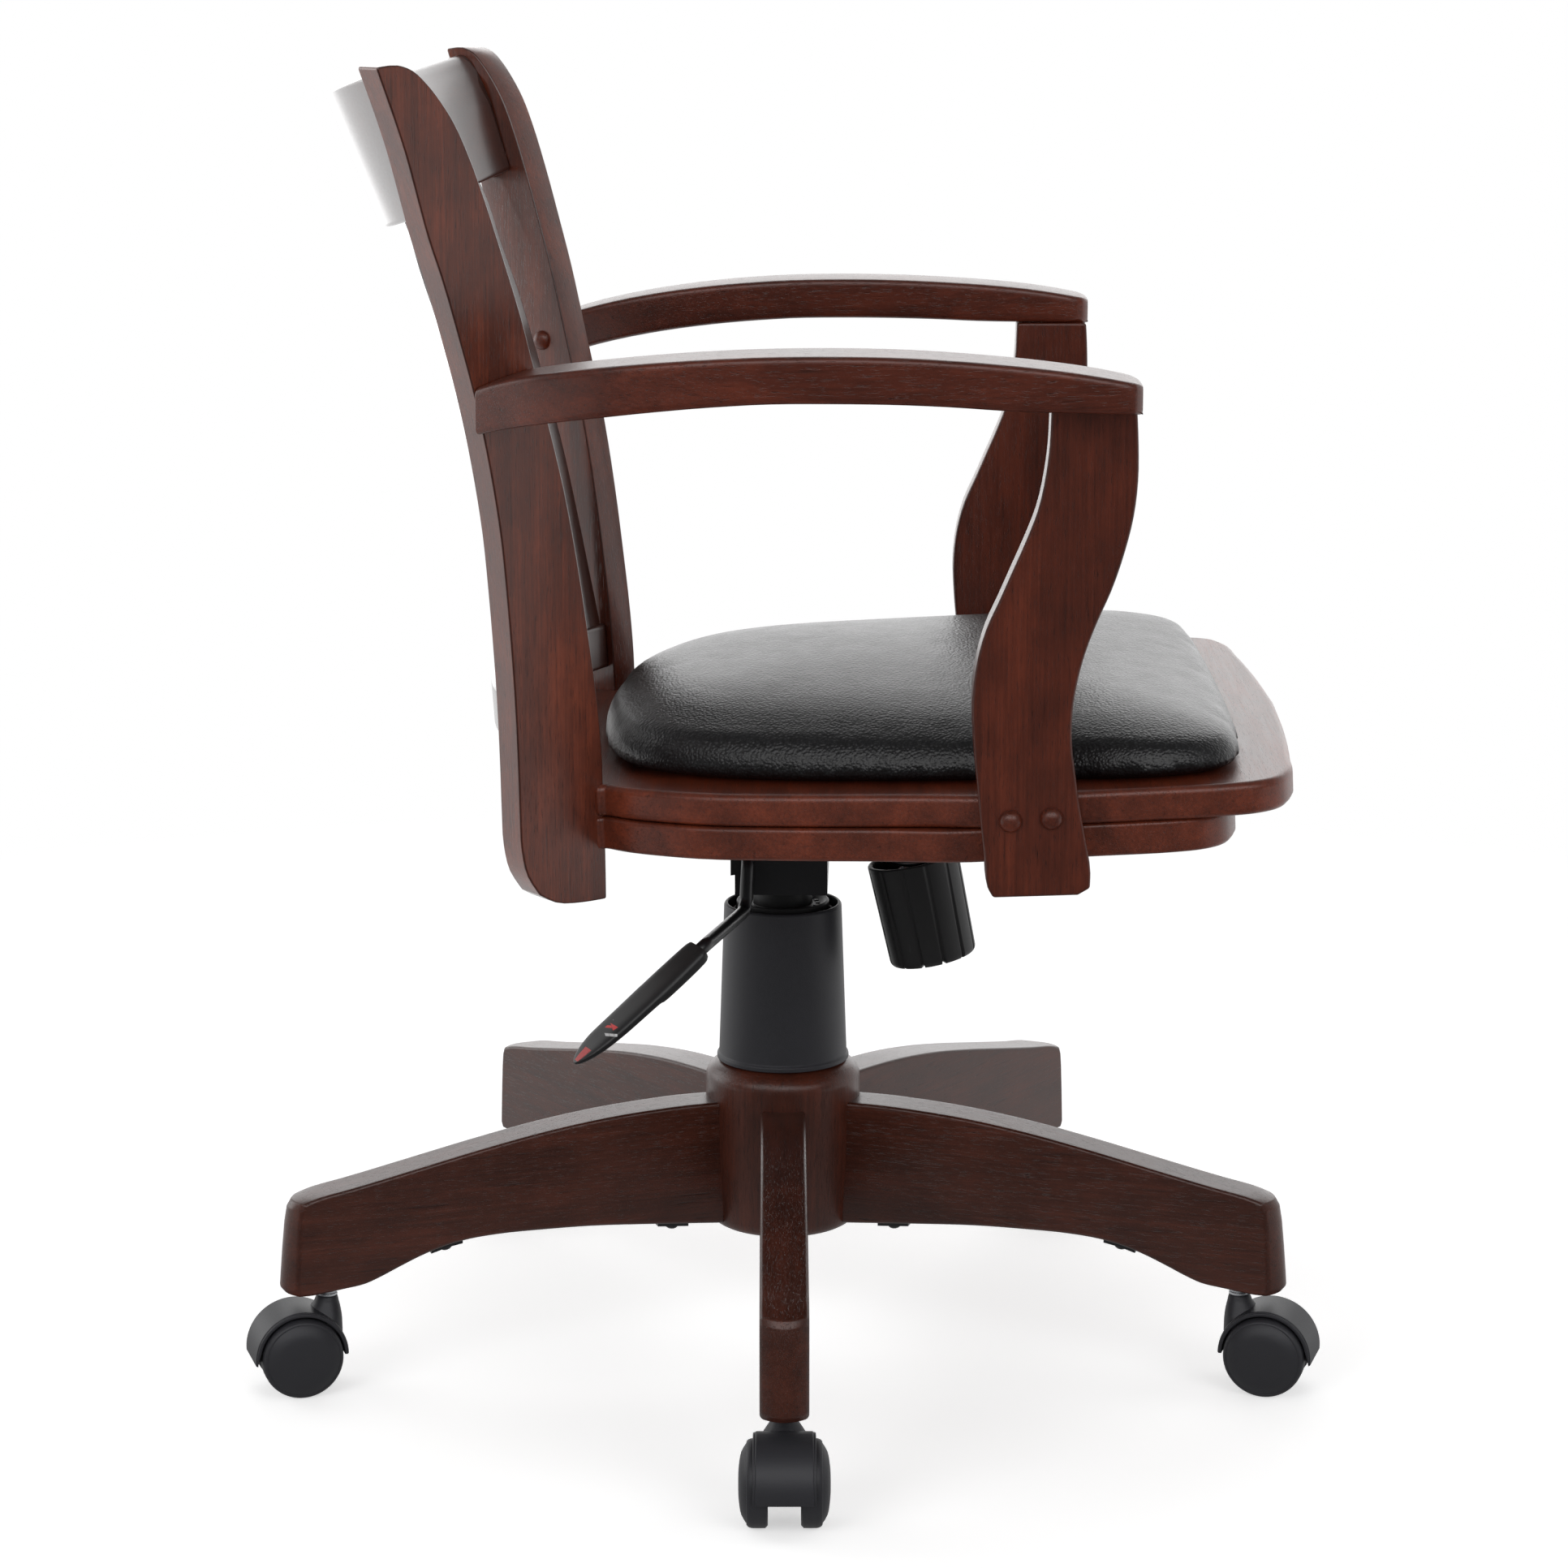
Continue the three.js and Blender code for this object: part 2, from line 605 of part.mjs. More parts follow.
for (let k = 0; k < legCount; k++) {
  const arm = new THREE.Group();
  arm.rotation.z = 2 * HALF_TURN * k / legCount;
  base.add(arm);
  add(arm, `leg_${k + 1}`, leg, wood);
  const caster = new THREE.Group();
  caster.position.x = casterRadius;
  arm.add(caster);
  add(caster, `caster_${k + 1}_stem`, stem, steel);
  add(caster, `caster_${k + 1}_hood`, hood, black);
  for (const [name, side] of [['left', 1], ['right', -1]]) {
    const hung = new THREE.Group();
    hung.position.set(casterTrail, side * wheelGap / 2, wheelRadius);
    hung.rotation.x = -side * RIGHT_ANGLE;
    caster.add(hung);
    add(hung, `caster_${k + 1}_wheel_${name}`, wheel, black);
  }
}

// Column

const cylinderRadius = cylinderDiameter / 2;
const rodRadius = rodDiameter / 2;
const tubeInner = tubeRadius - tubeWall;
const guideRadius = cylinderRadius + fit;
add(chair, 'column_tube', surface(solid(turned([
  [rodRadius + fit, tubeBottom], [tubeRadius, tubeBottom], [tubeRadius, tubeTop],
  [guideRadius, tubeTop], [guideRadius, tubeTop - guideLength],
  [tubeInner, tubeTop - guideLength - tubeWall], [tubeInner, tubeBottom + tubeFloor],
  [rodRadius + fit, tubeBottom + tubeFloor], [rodRadius + fit, tubeBottom]], 36))), paint);

const bearingBottom = tubeBottom + tubeFloor + fit;
const bearingTop = bearingBottom + bearingHeight;
add(chair, 'thrust_bearing', surface(solid(ring(rodRadius + fit, bearingDiameter / 2,
  bearingBottom, bearingTop, 24))), steel);

const cavityRadius = cylinderRadius - cylinderWall;
const pistonRadius = cavityRadius - fit;
const shoulderBottom = bearingTop + fit;
add(chair, 'piston_rod', surface(solid(turned([
  [0, rodBottom], [rodRadius, rodBottom], [rodRadius, shoulderBottom],
  [shoulderDiameter / 2, shoulderBottom], [shoulderDiameter / 2, shoulderBottom + shoulderHeight],
  [rodRadius, shoulderBottom + shoulderHeight], [rodRadius, pistonTop - pistonHeight],
  [pistonRadius, pistonTop - pistonHeight], [pistonRadius, pistonTop], [0, pistonTop]],
  24))), steel);

const buttonRadius = buttonDiameter / 2;
const buttonTop = cylinderTop + buttonRise;
const buttonBottom = buttonTop - buttonLength;
const cavityTop = cylinderTop - cylinderCrown;
const cavityBottom = cylinderBottom + cylinderGuide;
add(chair, 'gas_cylinder', surface(solid(turned([
  [0, buttonBottom - buttonTravel - fit], [buttonRadius + fit, buttonBottom - buttonTravel - fit],
  [buttonRadius + fit, cylinderTop], [cylinderRadius, cylinderTop],
  [cylinderRadius, cylinderBottom], [rodRadius + fit, cylinderBottom],
  [rodRadius + fit, cavityBottom], [cavityRadius, cavityBottom], [cavityRadius, cavityTop],
  [0, cavityTop]], 28))), steel);
add(chair, 'valve_button', surface(solid(disc(buttonRadius, buttonBottom, buttonTop, 12))), steel);

// Telescopic cover

const coverBottom = hubTop + fit;
const outward = (z) => coverTopRadius
  + (coverBottomRadius - coverTopRadius) * (coverTop - z) / (coverTop - coverBottom);
add(chair, 'cover_outer', surface(solid(turned([
  [outward(coverBottom) - coverWall, coverBottom],
  [outward(coverBottom) + coverBead, coverBottom],
  [outward(coverBottom) + coverBead, coverBottom + coverBeadHeight / 2],
  [outward(coverBottom), coverBottom + coverBeadHeight],
  [coverTopRadius, coverTop - coverWall / 2], [coverTopRadius - coverWall / 2, coverTop],
  [coverTopRadius - coverLip, coverTop], [coverTopRadius - coverLip, coverTop - coverWall],
  [coverTopRadius - coverWall, coverTop - coverWall],
  [outward(coverBottom) - coverWall, coverBottom]], 36))), black);

add(chair, 'cover_middle', surface(solid(turned([
  [middleRadius - sleeveWall, coverBottom],
  [middleRadius + middleFlange, coverBottom],
  [middleRadius + middleFlange, coverBottom + flangeHeight],
  [middleRadius, coverBottom + flangeHeight],
  [middleRadius, middleTop], [middleRadius - sleeveWall, middleTop],
  [middleRadius - sleeveWall, coverBottom]], 36))), black);

const sleeveBottom = coverBottom + sleeveLift;

const innerTop = housingBottom - fit;
const crownTurn = innerRadius - collarRise / 2;
add(chair, 'cover_inner', surface(solid(turned([
  [innerRadius - sleeveWall, sleeveBottom], [innerRadius, sleeveBottom],
  [innerRadius, innerTop - collarRise], [innerRadius - collarRise / 6, innerTop - collarRise / 3],
  [crownTurn, innerTop], [cylinderRadius + fit, innerTop],
  [cylinderRadius + fit, innerTop - sleeveWall], [crownTurn - sleeveWall, innerTop - sleeveWall],
  [innerRadius - sleeveWall, innerTop - collarRise],
  [innerRadius - sleeveWall, sleeveBottom]], 36))), black);

// Mechanism housing

const halfLength = housingLength / 2;
const halfWidth = housingWidth / 2;
const leverRadius = leverDiameter / 2;
const pinRadius = tiltPinDiameter / 2;
const socketRadius = cylinderRadius + fit + socketWall;
const leanFrame = (geometry) => geometry.rotateX(-springLean * DEG).translate(0, knobY, knobZ);
const plateUnder = (y) => seatLevel - Math.tan(seatPitch * DEG) * y
  - (boardThickness + underThickness + plateThickness + 2 * fit) / Math.cos(seatPitch * DEG);
const lip = leanFrame(block([-lipWidth / 2, -lipFront, lipLevel],
  [lipWidth / 2, lipRear, lipLevel + lipThickness]));
const lipMiddle = (y) => knobZ + (knobY - y) * Math.tan(springLean * DEG)
  + (lipLevel + lipThickness / 2) / Math.cos(springLean * DEG);
const stopEnds = [stopY - stopLength / 2, stopY + stopLength / 2];
const stopSides = [...stopEnds.map((y) => [y, lipMiddle(y)]),
  ...stopEnds.reverse().map((y) => [y, plateUnder(y) - fit])];
const sideways = (points, width) => upright(points, width).rotateZ(RIGHT_ANGLE);
const housing = cut(
  join(
    cut(solid(block([-halfWidth, -halfLength, housingBottom], [halfWidth, halfLength, housingTop])),
      solid(block([housingWall - halfWidth, housingWall - halfLength, housingBottom + housingWall],
        [halfWidth - housingWall, halfLength - housingWall, housingTop + overrun]))),
    solid(disc(socketRadius, housingBottom, housingTop - socketDrop, 32)),
    cut(solid(lip), solid(block([-overrun, housingWall / 2 - halfLength, 0],
      [overrun, overrun, housingTop + overrun]))),
    solid(sideways(stopSides, stopWidth))),
  solid(disc(cylinderRadius + fit, housingBottom - overrun, housingTop + overrun, 28)),
  solid(leanFrame(disc(boltHole / 2, lipLevel - overrun / 4, lipLevel + overrun, 20))),
  solid(bar(pinRadius + fit, -tiltPinLength, tiltPinLength, tiltY, tiltZ, 20)),
  solid(bar(leverRadius + fit, -tiltPinLength, 0, leverY, leverZ, 16)));
add(chair, 'mechanism_housing', surface(housing), paint);

add(chair, 'tilt_axle', surface(join(
  solid(bar(pinRadius, -tiltPinLength / 2, tiltPinLength / 2, tiltY, tiltZ, 20)),
  solid(bar(pinRadius + tiltPinHead / 2, -tiltPinLength / 2 - tiltPinHead,
    -tiltPinLength / 2, tiltY, tiltZ, 20)),
  solid(bar(pinRadius + tiltPinHead / 2, tiltPinLength / 2, tiltPinLength / 2 + tiltPinHead,
    tiltY, tiltZ, 20)))), steel);

// Lever with its tab over the valve, bush and paddle

// Straight runs with a rounded bend at each corner.
const bentPath = (corners, bend) => {
  const path = new THREE.CurvePath();
  let from = corners[0];
  for (let k = 1; k + 1 < corners.length; k++) {
    const [before, after] = [k - 1, k + 1].map((other) => (
      corners[k].clone().add(corners[other].clone().sub(corners[k]).setLength(bend))));
    path.add(new THREE.LineCurve3(from, before));
    path.add(new THREE.QuadraticBezierCurve3(before, corners[k], after));
    from = after;
  }
  path.add(new THREE.LineCurve3(from, corners[corners.length - 1]));
  return path;
};
const rowPoint = ([x, y, z]) => new THREE.Vector3(x, leverY + y, leverZ + z);
const paddleRoot = rowPoint([-leverEnd, leverSweep, -leverDrop]);
const paddleAlong = new THREE.Vector3(-0.37, 0.71, -0.6).normalize();
const paddleAcross = new THREE.Vector3(-0.909, -0.388, -0.154);
paddleAcross.addScaledVector(paddleAlong, -paddleAcross.dot(paddleAlong)).normalize();
const leverPath = bentPath([...[[leverInner, 0, 0], [-leverOut, 0, 0],
  [-leverOut, leverStraight, -leverDrop]].map(rowPoint),
paddleRoot.clone().addScaledVector(paddleAlong, -leverBend - leverStraight),
paddleRoot.clone().addScaledVector(paddleAlong, paddleGrip)], leverBend);
const circle = [];
for (let k = 0; k < 8; k++) {
  const a = 2 * HALF_TURN * (k + 0.5) / 8;
  circle.push([leverRadius * Math.cos(a), leverRadius * Math.sin(a)]);
}
const rodGeometry = new THREE.ExtrudeGeometry(new THREE.Shape(vectors(circle)), {
  steps: 40, bevelEnabled: false, extrudePath: leverPath });
const tabBottom = buttonTop + fit;
const valveTab = join(
  solid(block([-leverInner, leverY - tabReach, tabBottom],
    [leverInner, leverY + leverRadius / 2, tabBottom + tabPlate])),
  solid(block([-leverInner, leverY - leverRadius / 2, leverZ],
    [leverInner, leverY + leverRadius / 2, tabBottom + tabPlate])));
add(chair, 'lever_rod', surface(join(solid(rodGeometry), valveTab)), paint);

add(chair, 'lever_bush', surface(solid(ring(leverRadius + fit, bushDiameter / 2, -bushLength, 0, 20)
  .rotateY(RIGHT_ANGLE).translate(bushX, leverY, leverZ))), black);

const paddleFrame = new THREE.Matrix4().makeBasis(paddleAcross, paddleAlong,
  new THREE.Vector3().crossVectors(paddleAcross, paddleAlong)).setPosition(paddleRoot);
const paddleRing = ([share, width, deep]) => {
  const [half, thick] = [width * paddleWidth / 2, deep * paddleThickness / 2];
  return [[half, 0.4], [half - paddleEdge, 1], [paddleEdge - half, 1], [-half, 0.4],
    [-half, -0.4], [paddleEdge - half, -1], [half - paddleEdge, -1], [half, -0.4]]
    .map(([x, z]) => new THREE.Vector3(x, share * paddleLength, z * thick));
};
const rodSeat = new THREE.ExtrudeGeometry(new THREE.Shape(vectors(circle.map(([x, y]) => (
  [x, y].map((value) => value * (1 + 1.5 * fit / leverRadius)))))), {
  steps: 40, bevelEnabled: false, extrudePath: leverPath });
const rodEnd = disc(leverRadius + fit, -2 * fit, paddleGrip / 2, 12)
  .applyQuaternion(new THREE.Quaternion().setFromUnitVectors(new THREE.Vector3(0, 0, 1),
    paddleAlong.clone().negate()))
  .translate(...leverPath.getPoint(1).toArray());
const paddle = cut(solid(skin(paddleShares.map(paddleRing)).applyMatrix4(paddleFrame)),
  solid(rodSeat), solid(rodEnd));
add(chair, 'lever_paddle', surface(paddle), black);

// Tension spring, bolt and knob

const springFloor = knobFloor + fit + springWire / 2;
const springCeiling = lipLevel - fit - springWire / 2;
const springStepCount = springCurls * springSteps;
const coilPoint = (share) => {
  const a = 2 * HALF_TURN * springCurls * share;
  return new THREE.Vector3(springRadius * Math.cos(a), springRadius * Math.sin(a),
    springFloor + (springCeiling - springFloor) * share);
};
const springRings = [];
const centres = [];
for (let k = 0; k <= springStepCount; k++) {
  const share = k / springStepCount;
  const centre = coilPoint(share);
  const a = 2 * HALF_TURN * springCurls * share;
  const outwardWay = new THREE.Vector3(Math.cos(a), Math.sin(a), 0);
  const up = new THREE.Vector3(0, 0, 1);
  centres.push(centre);
  springRings.push(Array.from({ length: springSides }, (_, i) => {
    const b = 2 * HALF_TURN * i / springSides;
    return centre.clone().addScaledVector(outwardWay, springWire / 2 * Math.cos(b))
      .addScaledVector(up, springWire / 2 * Math.sin(b));
  }));
}
let springGap = Infinity;
centres.forEach((p, i) => centres.forEach((q, j) => {
  if (j - i >= springSteps / 2) springGap = Math.min(springGap, p.distanceTo(q) - springWire);
}));
console.log('least gap between the spring\'s curls', springGap.toFixed(2));
add(chair, 'tension_spring', surface(solid(leanFrame(skin(springRings)))), steel);

const boltRadius = boltDiameter / 2;
// The bolt ends a fit below the seat plate, measured at the bolt's upper end.
const boltTop = (() => {
  const lean = springLean * DEG;
  let h = lipLevel;
  for (let k = 0; k < 8; k++) {
    h = (plateUnder(knobY + h * Math.sin(lean)) - fit - boltRadius * Math.tan(lean) - knobZ)
      / Math.cos(lean);
  }
  return h;
})();
add(chair, 'tension_bolt', surface(solid(leanFrame(
  disc(boltRadius, 0, boltTop, 16)).scale(1, 1, 1))), steel);

const knobSides = [
  [boltRadius + fit, 0], [knobFootRadius - knobEdge, 0], [knobFootRadius, knobEdge],
  [knobTopRadius, knobHeight], [knobTopRadius - knobWall, knobHeight],
  [knobFootRadius - knobWall, knobFloor], [boltRadius + fit, knobFloor], [boltRadius + fit, 0]];
const grooves = [];
for (let k = 0; k < knobGrooves; k++) {
  grooves.push(solid(block([knobFootRadius - grooveDepth, -grooveWidth / 2, -overrun],
    [knobTopRadius + overrun, grooveWidth / 2, knobHeight * 0.86])
    .rotateZ(2 * HALF_TURN * (k + 0.5) / knobGrooves)));
}
const knob = cut(solid(turned(knobSides, 36)), ...grooves);
add(chair, 'tension_knob', surface(solid(leanFrame(surface(knob)))), black);

// Seat

const pitched = (geometry) => geometry.rotateX(-seatPitch * DEG).translate(0, 0, seatLevel);
const both = (half) => [...half, ...half.slice(1, -1).reverse().map(([x, y]) => [-x, y])];
const seatLength = seatFront + seatRear;
// Plan outlines run from the front middle; y grows to the rear.
const seatPlan = (shares, width, length, rear) => both(
  shares.map(([x, y]) => [x * width, rear - y * length]));

const yaw = postYaw * DEG;
const postFace = seatHalfWidth * Math.cos(yaw) - postTuck;
const postToe = seatHalfWidth * Math.sin(yaw) + postStart;
const postNormal = [-Math.cos(yaw), -Math.sin(yaw)];
const postAlong = [Math.sin(yaw), -Math.cos(yaw)];
// A place by its distance behind the swivel axis along the near post and out from it.
const postPlace = (back, out) => [0, 1].map((i) => -postAlong[i] * back + postNormal[i] * out);
const postSlab = (backs, outs, low, high) => solid(slab([
  postPlace(backs[0], outs[0]), postPlace(backs[1], outs[0]),
  postPlace(backs[1], outs[1]), postPlace(backs[0], outs[1])], high - low).translate(0, 0, low));
const postInner = postFace - postThickness;
const farBack = postToe + postSweep + overrun;
const twice = (manifold) => [manifold, solid(mirrored(surface(manifold)))];
const pastPosts = (out) => twice(postSlab([0, farBack], [out, out + 6 * overrun],
  0, 2 * (postBottom + postHeight)));
const postNotches = twice(postSlab([postToe - fit, farBack],
  [postInner - fit, postFace + 6 * overrun], 0, postBottom + postHeight));

const boardPlan = seatPlan(boardShares, seatHalfWidth, seatLength, seatRear);
const board = cut(solid(pitched(slab(boardPlan, boardThickness).translate(0, 0, -boardThickness))),
  ...postNotches);
add(chair, 'seat_board', surface(board), wood);

const underPlan = seatPlan(boardShares, seatHalfWidth - underInset,
  seatLength - underSetback - underInset, seatRear - underInset);
const underTop = -boardThickness - fit;
const under = cut(solid(pitched(slab(underPlan, underThickness)
  .translate(0, 0, underTop - underThickness))), ...postNotches);
add(chair, 'seat_underframe', surface(under), wood);

const plateTop = underTop - underThickness - fit;
const plateBottom = plateTop - plateThickness;
const c = plateCorner;
const [pw, pl] = [plateWidth / 2, plateLength / 2];
const platePlan = [[c - pw, -pl], [pw - c, -pl], [pw, c - pl], [pw, pl - c], [pw - c, pl],
  [c - pw, pl], [-pw, pl - c], [-pw, c - pl]];
const earInner = halfWidth + fit;
const earRoot = plateUnder(0) + plateThickness / 2;
const ear = upright([[-earFront, earBottomFront], [earRear, earBottomRear],
  [earRear, earRoot - Math.tan(seatPitch * DEG) * earRear],
  [-earFront, earRoot + Math.tan(seatPitch * DEG) * earFront]], earThickness)
  .rotateZ(RIGHT_ANGLE);
const earSlot = block([-overrun, leverY - earSlotWidth / 2, leverZ - leverRadius - 2 * fit],
  [overrun, leverY + earSlotWidth / 2, leverZ - leverRadius - 2 * fit + earSlotHeight]);
const ears = [1, -1].map((side) => cut(
  solid(ear.clone().translate(side * (earInner + earThickness / 2), 0, 0)),
  solid(bar(pinRadius + fit, -tiltPinLength, tiltPinLength, tiltY, tiltZ, 20)), solid(earSlot)));
add(chair, 'seat_plate', surface(join(
  solid(pitched(slab(platePlan, plateThickness).translate(0, 0, plateBottom))), ...ears)), paint);

// Cushion with drawn-in lower edge, bulged sides and a crown.
const padHalfWidth = seatHalfWidth - padMargin;
const padOutline = seatPlan(padShares, padHalfWidth, padFront + padRear, padRear);
const padMiddle = new THREE.Vector2(0, (padRear - padFront) / 2);
const padRings = padRingShares.map(([inset, height, inwards], k) => padOutline.map(([x, y]) => {
  const p = new THREE.Vector2(x, y);
  const inward = padMiddle.clone().sub(p).normalize();
  const step = inset < 0 ? inset * padBulge
    : k < 3 ? inset * padTuck : inset * padShoulder / 3;
  p.addScaledVector(inward, step).lerp(padMiddle, inwards);
  const rise = height * padEdgeHeight + padCrownShares[k] * (padCrown - padEdgeHeight);
  const lean = 1 + padLeanShare * (p.y - padMiddle.y) / (padFront + padRear);
  return new THREE.Vector3(p.x, p.y, fit + rise * lean);
}));
const padSkin = skin(padRings);
padSkin.attributes.position.setZ(padRings.length * padOutline.length + 1, fit + padCrown);
add(chair, 'seat_pad', surface(solid(pitched(padSkin))), vinyl);

// Back posts, crest rail, lower rail and slats

const postSides = postShares.map(([s, z]) => [postToe + s * postSweep, z * postHeight + postBottom]);
// Drawn with X running back along the post's face, then turned into place.
const postGeometry = upright(postSides, postThickness)
  .translate(0, postFace - postThickness / 2, 0);
const postFrame = new THREE.Matrix4().makeBasis(
  new THREE.Vector3(-postAlong[0], -postAlong[1], 0),
  new THREE.Vector3(...postNormal, 0), new THREE.Vector3(0, 0, 1));
const backPost = surface(solid(postGeometry.applyMatrix4(postFrame)));
add(chair, 'back_post_right', backPost, wood);
add(chair, 'back_post_left', mirrored(backPost), wood);

// Bent board: front face on an arc, leaning back, its middle at y and z.
const bentBoard = (radius, thickness, height, lean, y, z, halfSpan) => {
  const half = Math.asin(halfSpan / radius);
  const steps = 22;
  const arc = (r) => Array.from({ length: steps + 1 }, (_, i) => {
    const a = (2 * i / steps - 1) * half;
    return [r * Math.sin(a), r * Math.cos(a) - radius];
  });
  return solid(slab([...arc(radius), ...arc(radius + thickness).reverse()], height)
    .rotateX(-lean * DEG).translate(0, y, z));
};

const crestArc = crestRadius * Math.cos(crestLean * DEG);
const railArc = railRadius * Math.cos(railLean * DEG);
// Front face of the slats' common surface at any x and height share.
const slatFace = (x, share) => {
  const radius = railArc + (crestArc - railArc) * share;
  return slatY + shareValue(slatShares, share) * slatSweep
    - (radius - Math.sqrt(radius * radius - x * x));
};
const slatSolid = (middle, grow) => {
  const half = slatWidth / 2 + grow;
  const rings = slatShares.map(([share], k) => {
    const end = k === 0 ? -grow : k === slatShares.length - 1 ? grow : 0;
    const z = slatBottom + share * slatLength + end;
    const xs = [middle - half, middle, middle + half];
    return [...xs.map((x) => new THREE.Vector3(x, slatFace(x, share) - grow, z)),
      ...xs.reverse().map((x) => new THREE.Vector3(x, slatFace(x, share)
        + slatThickness + grow, z))];
  });
  return solid(skin(rings));
};
const slatPitch = (seatHalfWidth - slatMargin) / ((slatCount - 1) / 2);
const slatMiddles = Array.from({ length: slatCount }, (_, i) => (i - (slatCount - 1) / 2) * slatPitch);
const mortises = slatMiddles.map((x) => slatSolid(x, fit));
const beyond = pastPosts(postInner - fit);

// The crest's upper edge falls towards both ends.
const crestSpan = postToe + postSweep / 2;
const crestEdge = [];
for (let k = -8; k <= 8; k++) {
  const x = k / 8 * crestSpan;
  crestEdge.push([x, crestHeight - crestDrop * (x / crestSpan) ** 2]);
}
const crestFront = solid(upright([[-crestSpan, -overrun], [crestSpan, -overrun],
  ...crestEdge.reverse()], 8 * overrun).rotateX(-crestLean * DEG).translate(0, crestY, crestZ));
const crest = cut(bentBoard(crestRadius, crestThickness, crestHeight, crestLean, crestY, crestZ,
  crestSpan).intersect(crestFront), ...beyond, ...mortises);
add(chair, 'crest_rail', surface(crest), woodDark);
const rail = cut(bentBoard(railRadius, railThickness, railHeight, railLean, railY, railZ,
  postToe), ...beyond, ...mortises);
add(chair, 'lower_rail', surface(rail), woodDark);
slatMiddles.forEach((x, i) => add(chair, `slat_${i + 1}`, surface(slatSolid(x, 0)), woodDark));

// Arms and front arm posts

const armReach = seatHalfWidth + armOverhang;
const armRings = armShares.map(([at, outer, width, drop, thick]) => {
  const y = at * armLength - armFront;
  const x1 = outer * armReach;
  const x0 = x1 - width * armWidth;
  const top = armTop - drop * armRise;
  const low = top - thick * armRise;
  return [[x0, Math.max(low, top - armThinShare * armRise)], [x1, low], [x1, (low + 2 * top) / 3], [x1 - armWidth / 14, top],
    [x0 + armWidth / 14, top], [x0, (low + 2 * top) / 3]]
    .map(([x, z]) => new THREE.Vector3(-x, y, z));
});
const armBody = solid(skin(armRings));
const behindFace = postSlab([0, farBack], [postFace + fit - 4 * overrun, postFace + fit],
  0, 2 * armTop);
const arm = surface(cut(armBody, behindFace));
add(chair, 'arm_right', arm, wood);
add(chair, 'arm_left', mirrored(arm), wood);

const armPostInner = seatHalfWidth + fit;
const armPostSides = armPostShares.map(([s, z]) => [
  -armPostFoot - s * armPostDepth, armPostBottom + z * (armPostTop - armPostBottom)]);
const armPostBody = solid(sideways(armPostSides, armPostThickness)
  .translate(-armPostInner - armPostThickness / 2, 0, 0));
// Everything over the arm's underside, less the clearance.
const overArm = solid(skin(armRings.map(([{ y, z }]) => [[0, z - fit], [2 * armReach, z - fit],
  [2 * armReach, armTop], [0, armTop]].map(([x, height]) => new THREE.Vector3(-x, y, height)))));
const armPost = surface(cut(armPostBody, overArm));
add(chair, 'arm_post_right', armPost, wood);
add(chair, 'arm_post_left', mirrored(armPost), wood);

// Middle of the footprint on the floor becomes the origin.
chair.updateMatrixWorld(true);
const bounds = new THREE.Box3().setFromObject(chair, true);
const centre = bounds.getCenter(new THREE.Vector3());
chair.position.set(-centre.x, -centre.y, -bounds.min.z);
chair.updateMatrixWorld(true);

export default chair;
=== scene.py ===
import math
from math import cos, pi, radians, sin

import bmesh
import bpy
import numpy as np
from mathutils import Matrix, Vector


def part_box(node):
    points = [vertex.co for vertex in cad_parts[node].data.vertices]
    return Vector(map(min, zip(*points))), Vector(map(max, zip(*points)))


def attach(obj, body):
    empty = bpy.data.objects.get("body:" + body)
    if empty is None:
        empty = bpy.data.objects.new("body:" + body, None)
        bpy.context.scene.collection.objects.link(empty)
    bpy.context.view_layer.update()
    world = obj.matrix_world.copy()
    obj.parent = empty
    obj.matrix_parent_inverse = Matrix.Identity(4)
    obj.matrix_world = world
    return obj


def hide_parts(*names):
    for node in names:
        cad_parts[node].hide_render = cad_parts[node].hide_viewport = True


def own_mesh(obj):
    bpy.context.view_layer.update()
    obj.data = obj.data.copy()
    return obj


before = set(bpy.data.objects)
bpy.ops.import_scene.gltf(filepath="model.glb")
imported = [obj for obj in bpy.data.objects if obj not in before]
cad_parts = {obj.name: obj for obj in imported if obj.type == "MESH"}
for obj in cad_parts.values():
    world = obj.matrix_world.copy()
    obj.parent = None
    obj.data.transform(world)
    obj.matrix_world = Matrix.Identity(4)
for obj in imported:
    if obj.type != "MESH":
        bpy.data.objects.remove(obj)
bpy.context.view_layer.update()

# Photographer's corner: a camera at sitting height on the chair's right, a white floor that runs
# on to a white backdrop, and broad lamps overhead and to both sides, as in a catalogue studio.
eye = Vector((-2.36427, -0.05082, 0.86285))
heading, dip = radians(1.2563), radians(11.878)
sight = Vector((cos(heading) * cos(dip), sin(heading) * cos(dip), -sin(dip)))
lens = bpy.data.cameras.new("studio_camera")
lens.lens, lens.sensor_width, lens.sensor_fit = 89.727, 36, "HORIZONTAL"
def shown(name, data):
    """A new object in the scene."""
    made = bpy.data.objects.new(name, data)
    bpy.context.scene.collection.objects.link(made)
    return made


def frozen(holder):
    """The mesh that an object comes to with its modifiers; the object goes."""
    bpy.context.view_layer.update()
    made = bpy.data.meshes.new_from_object(
        holder.evaluated_get(bpy.context.evaluated_depsgraph_get()))
    bpy.data.objects.remove(holder)
    return made


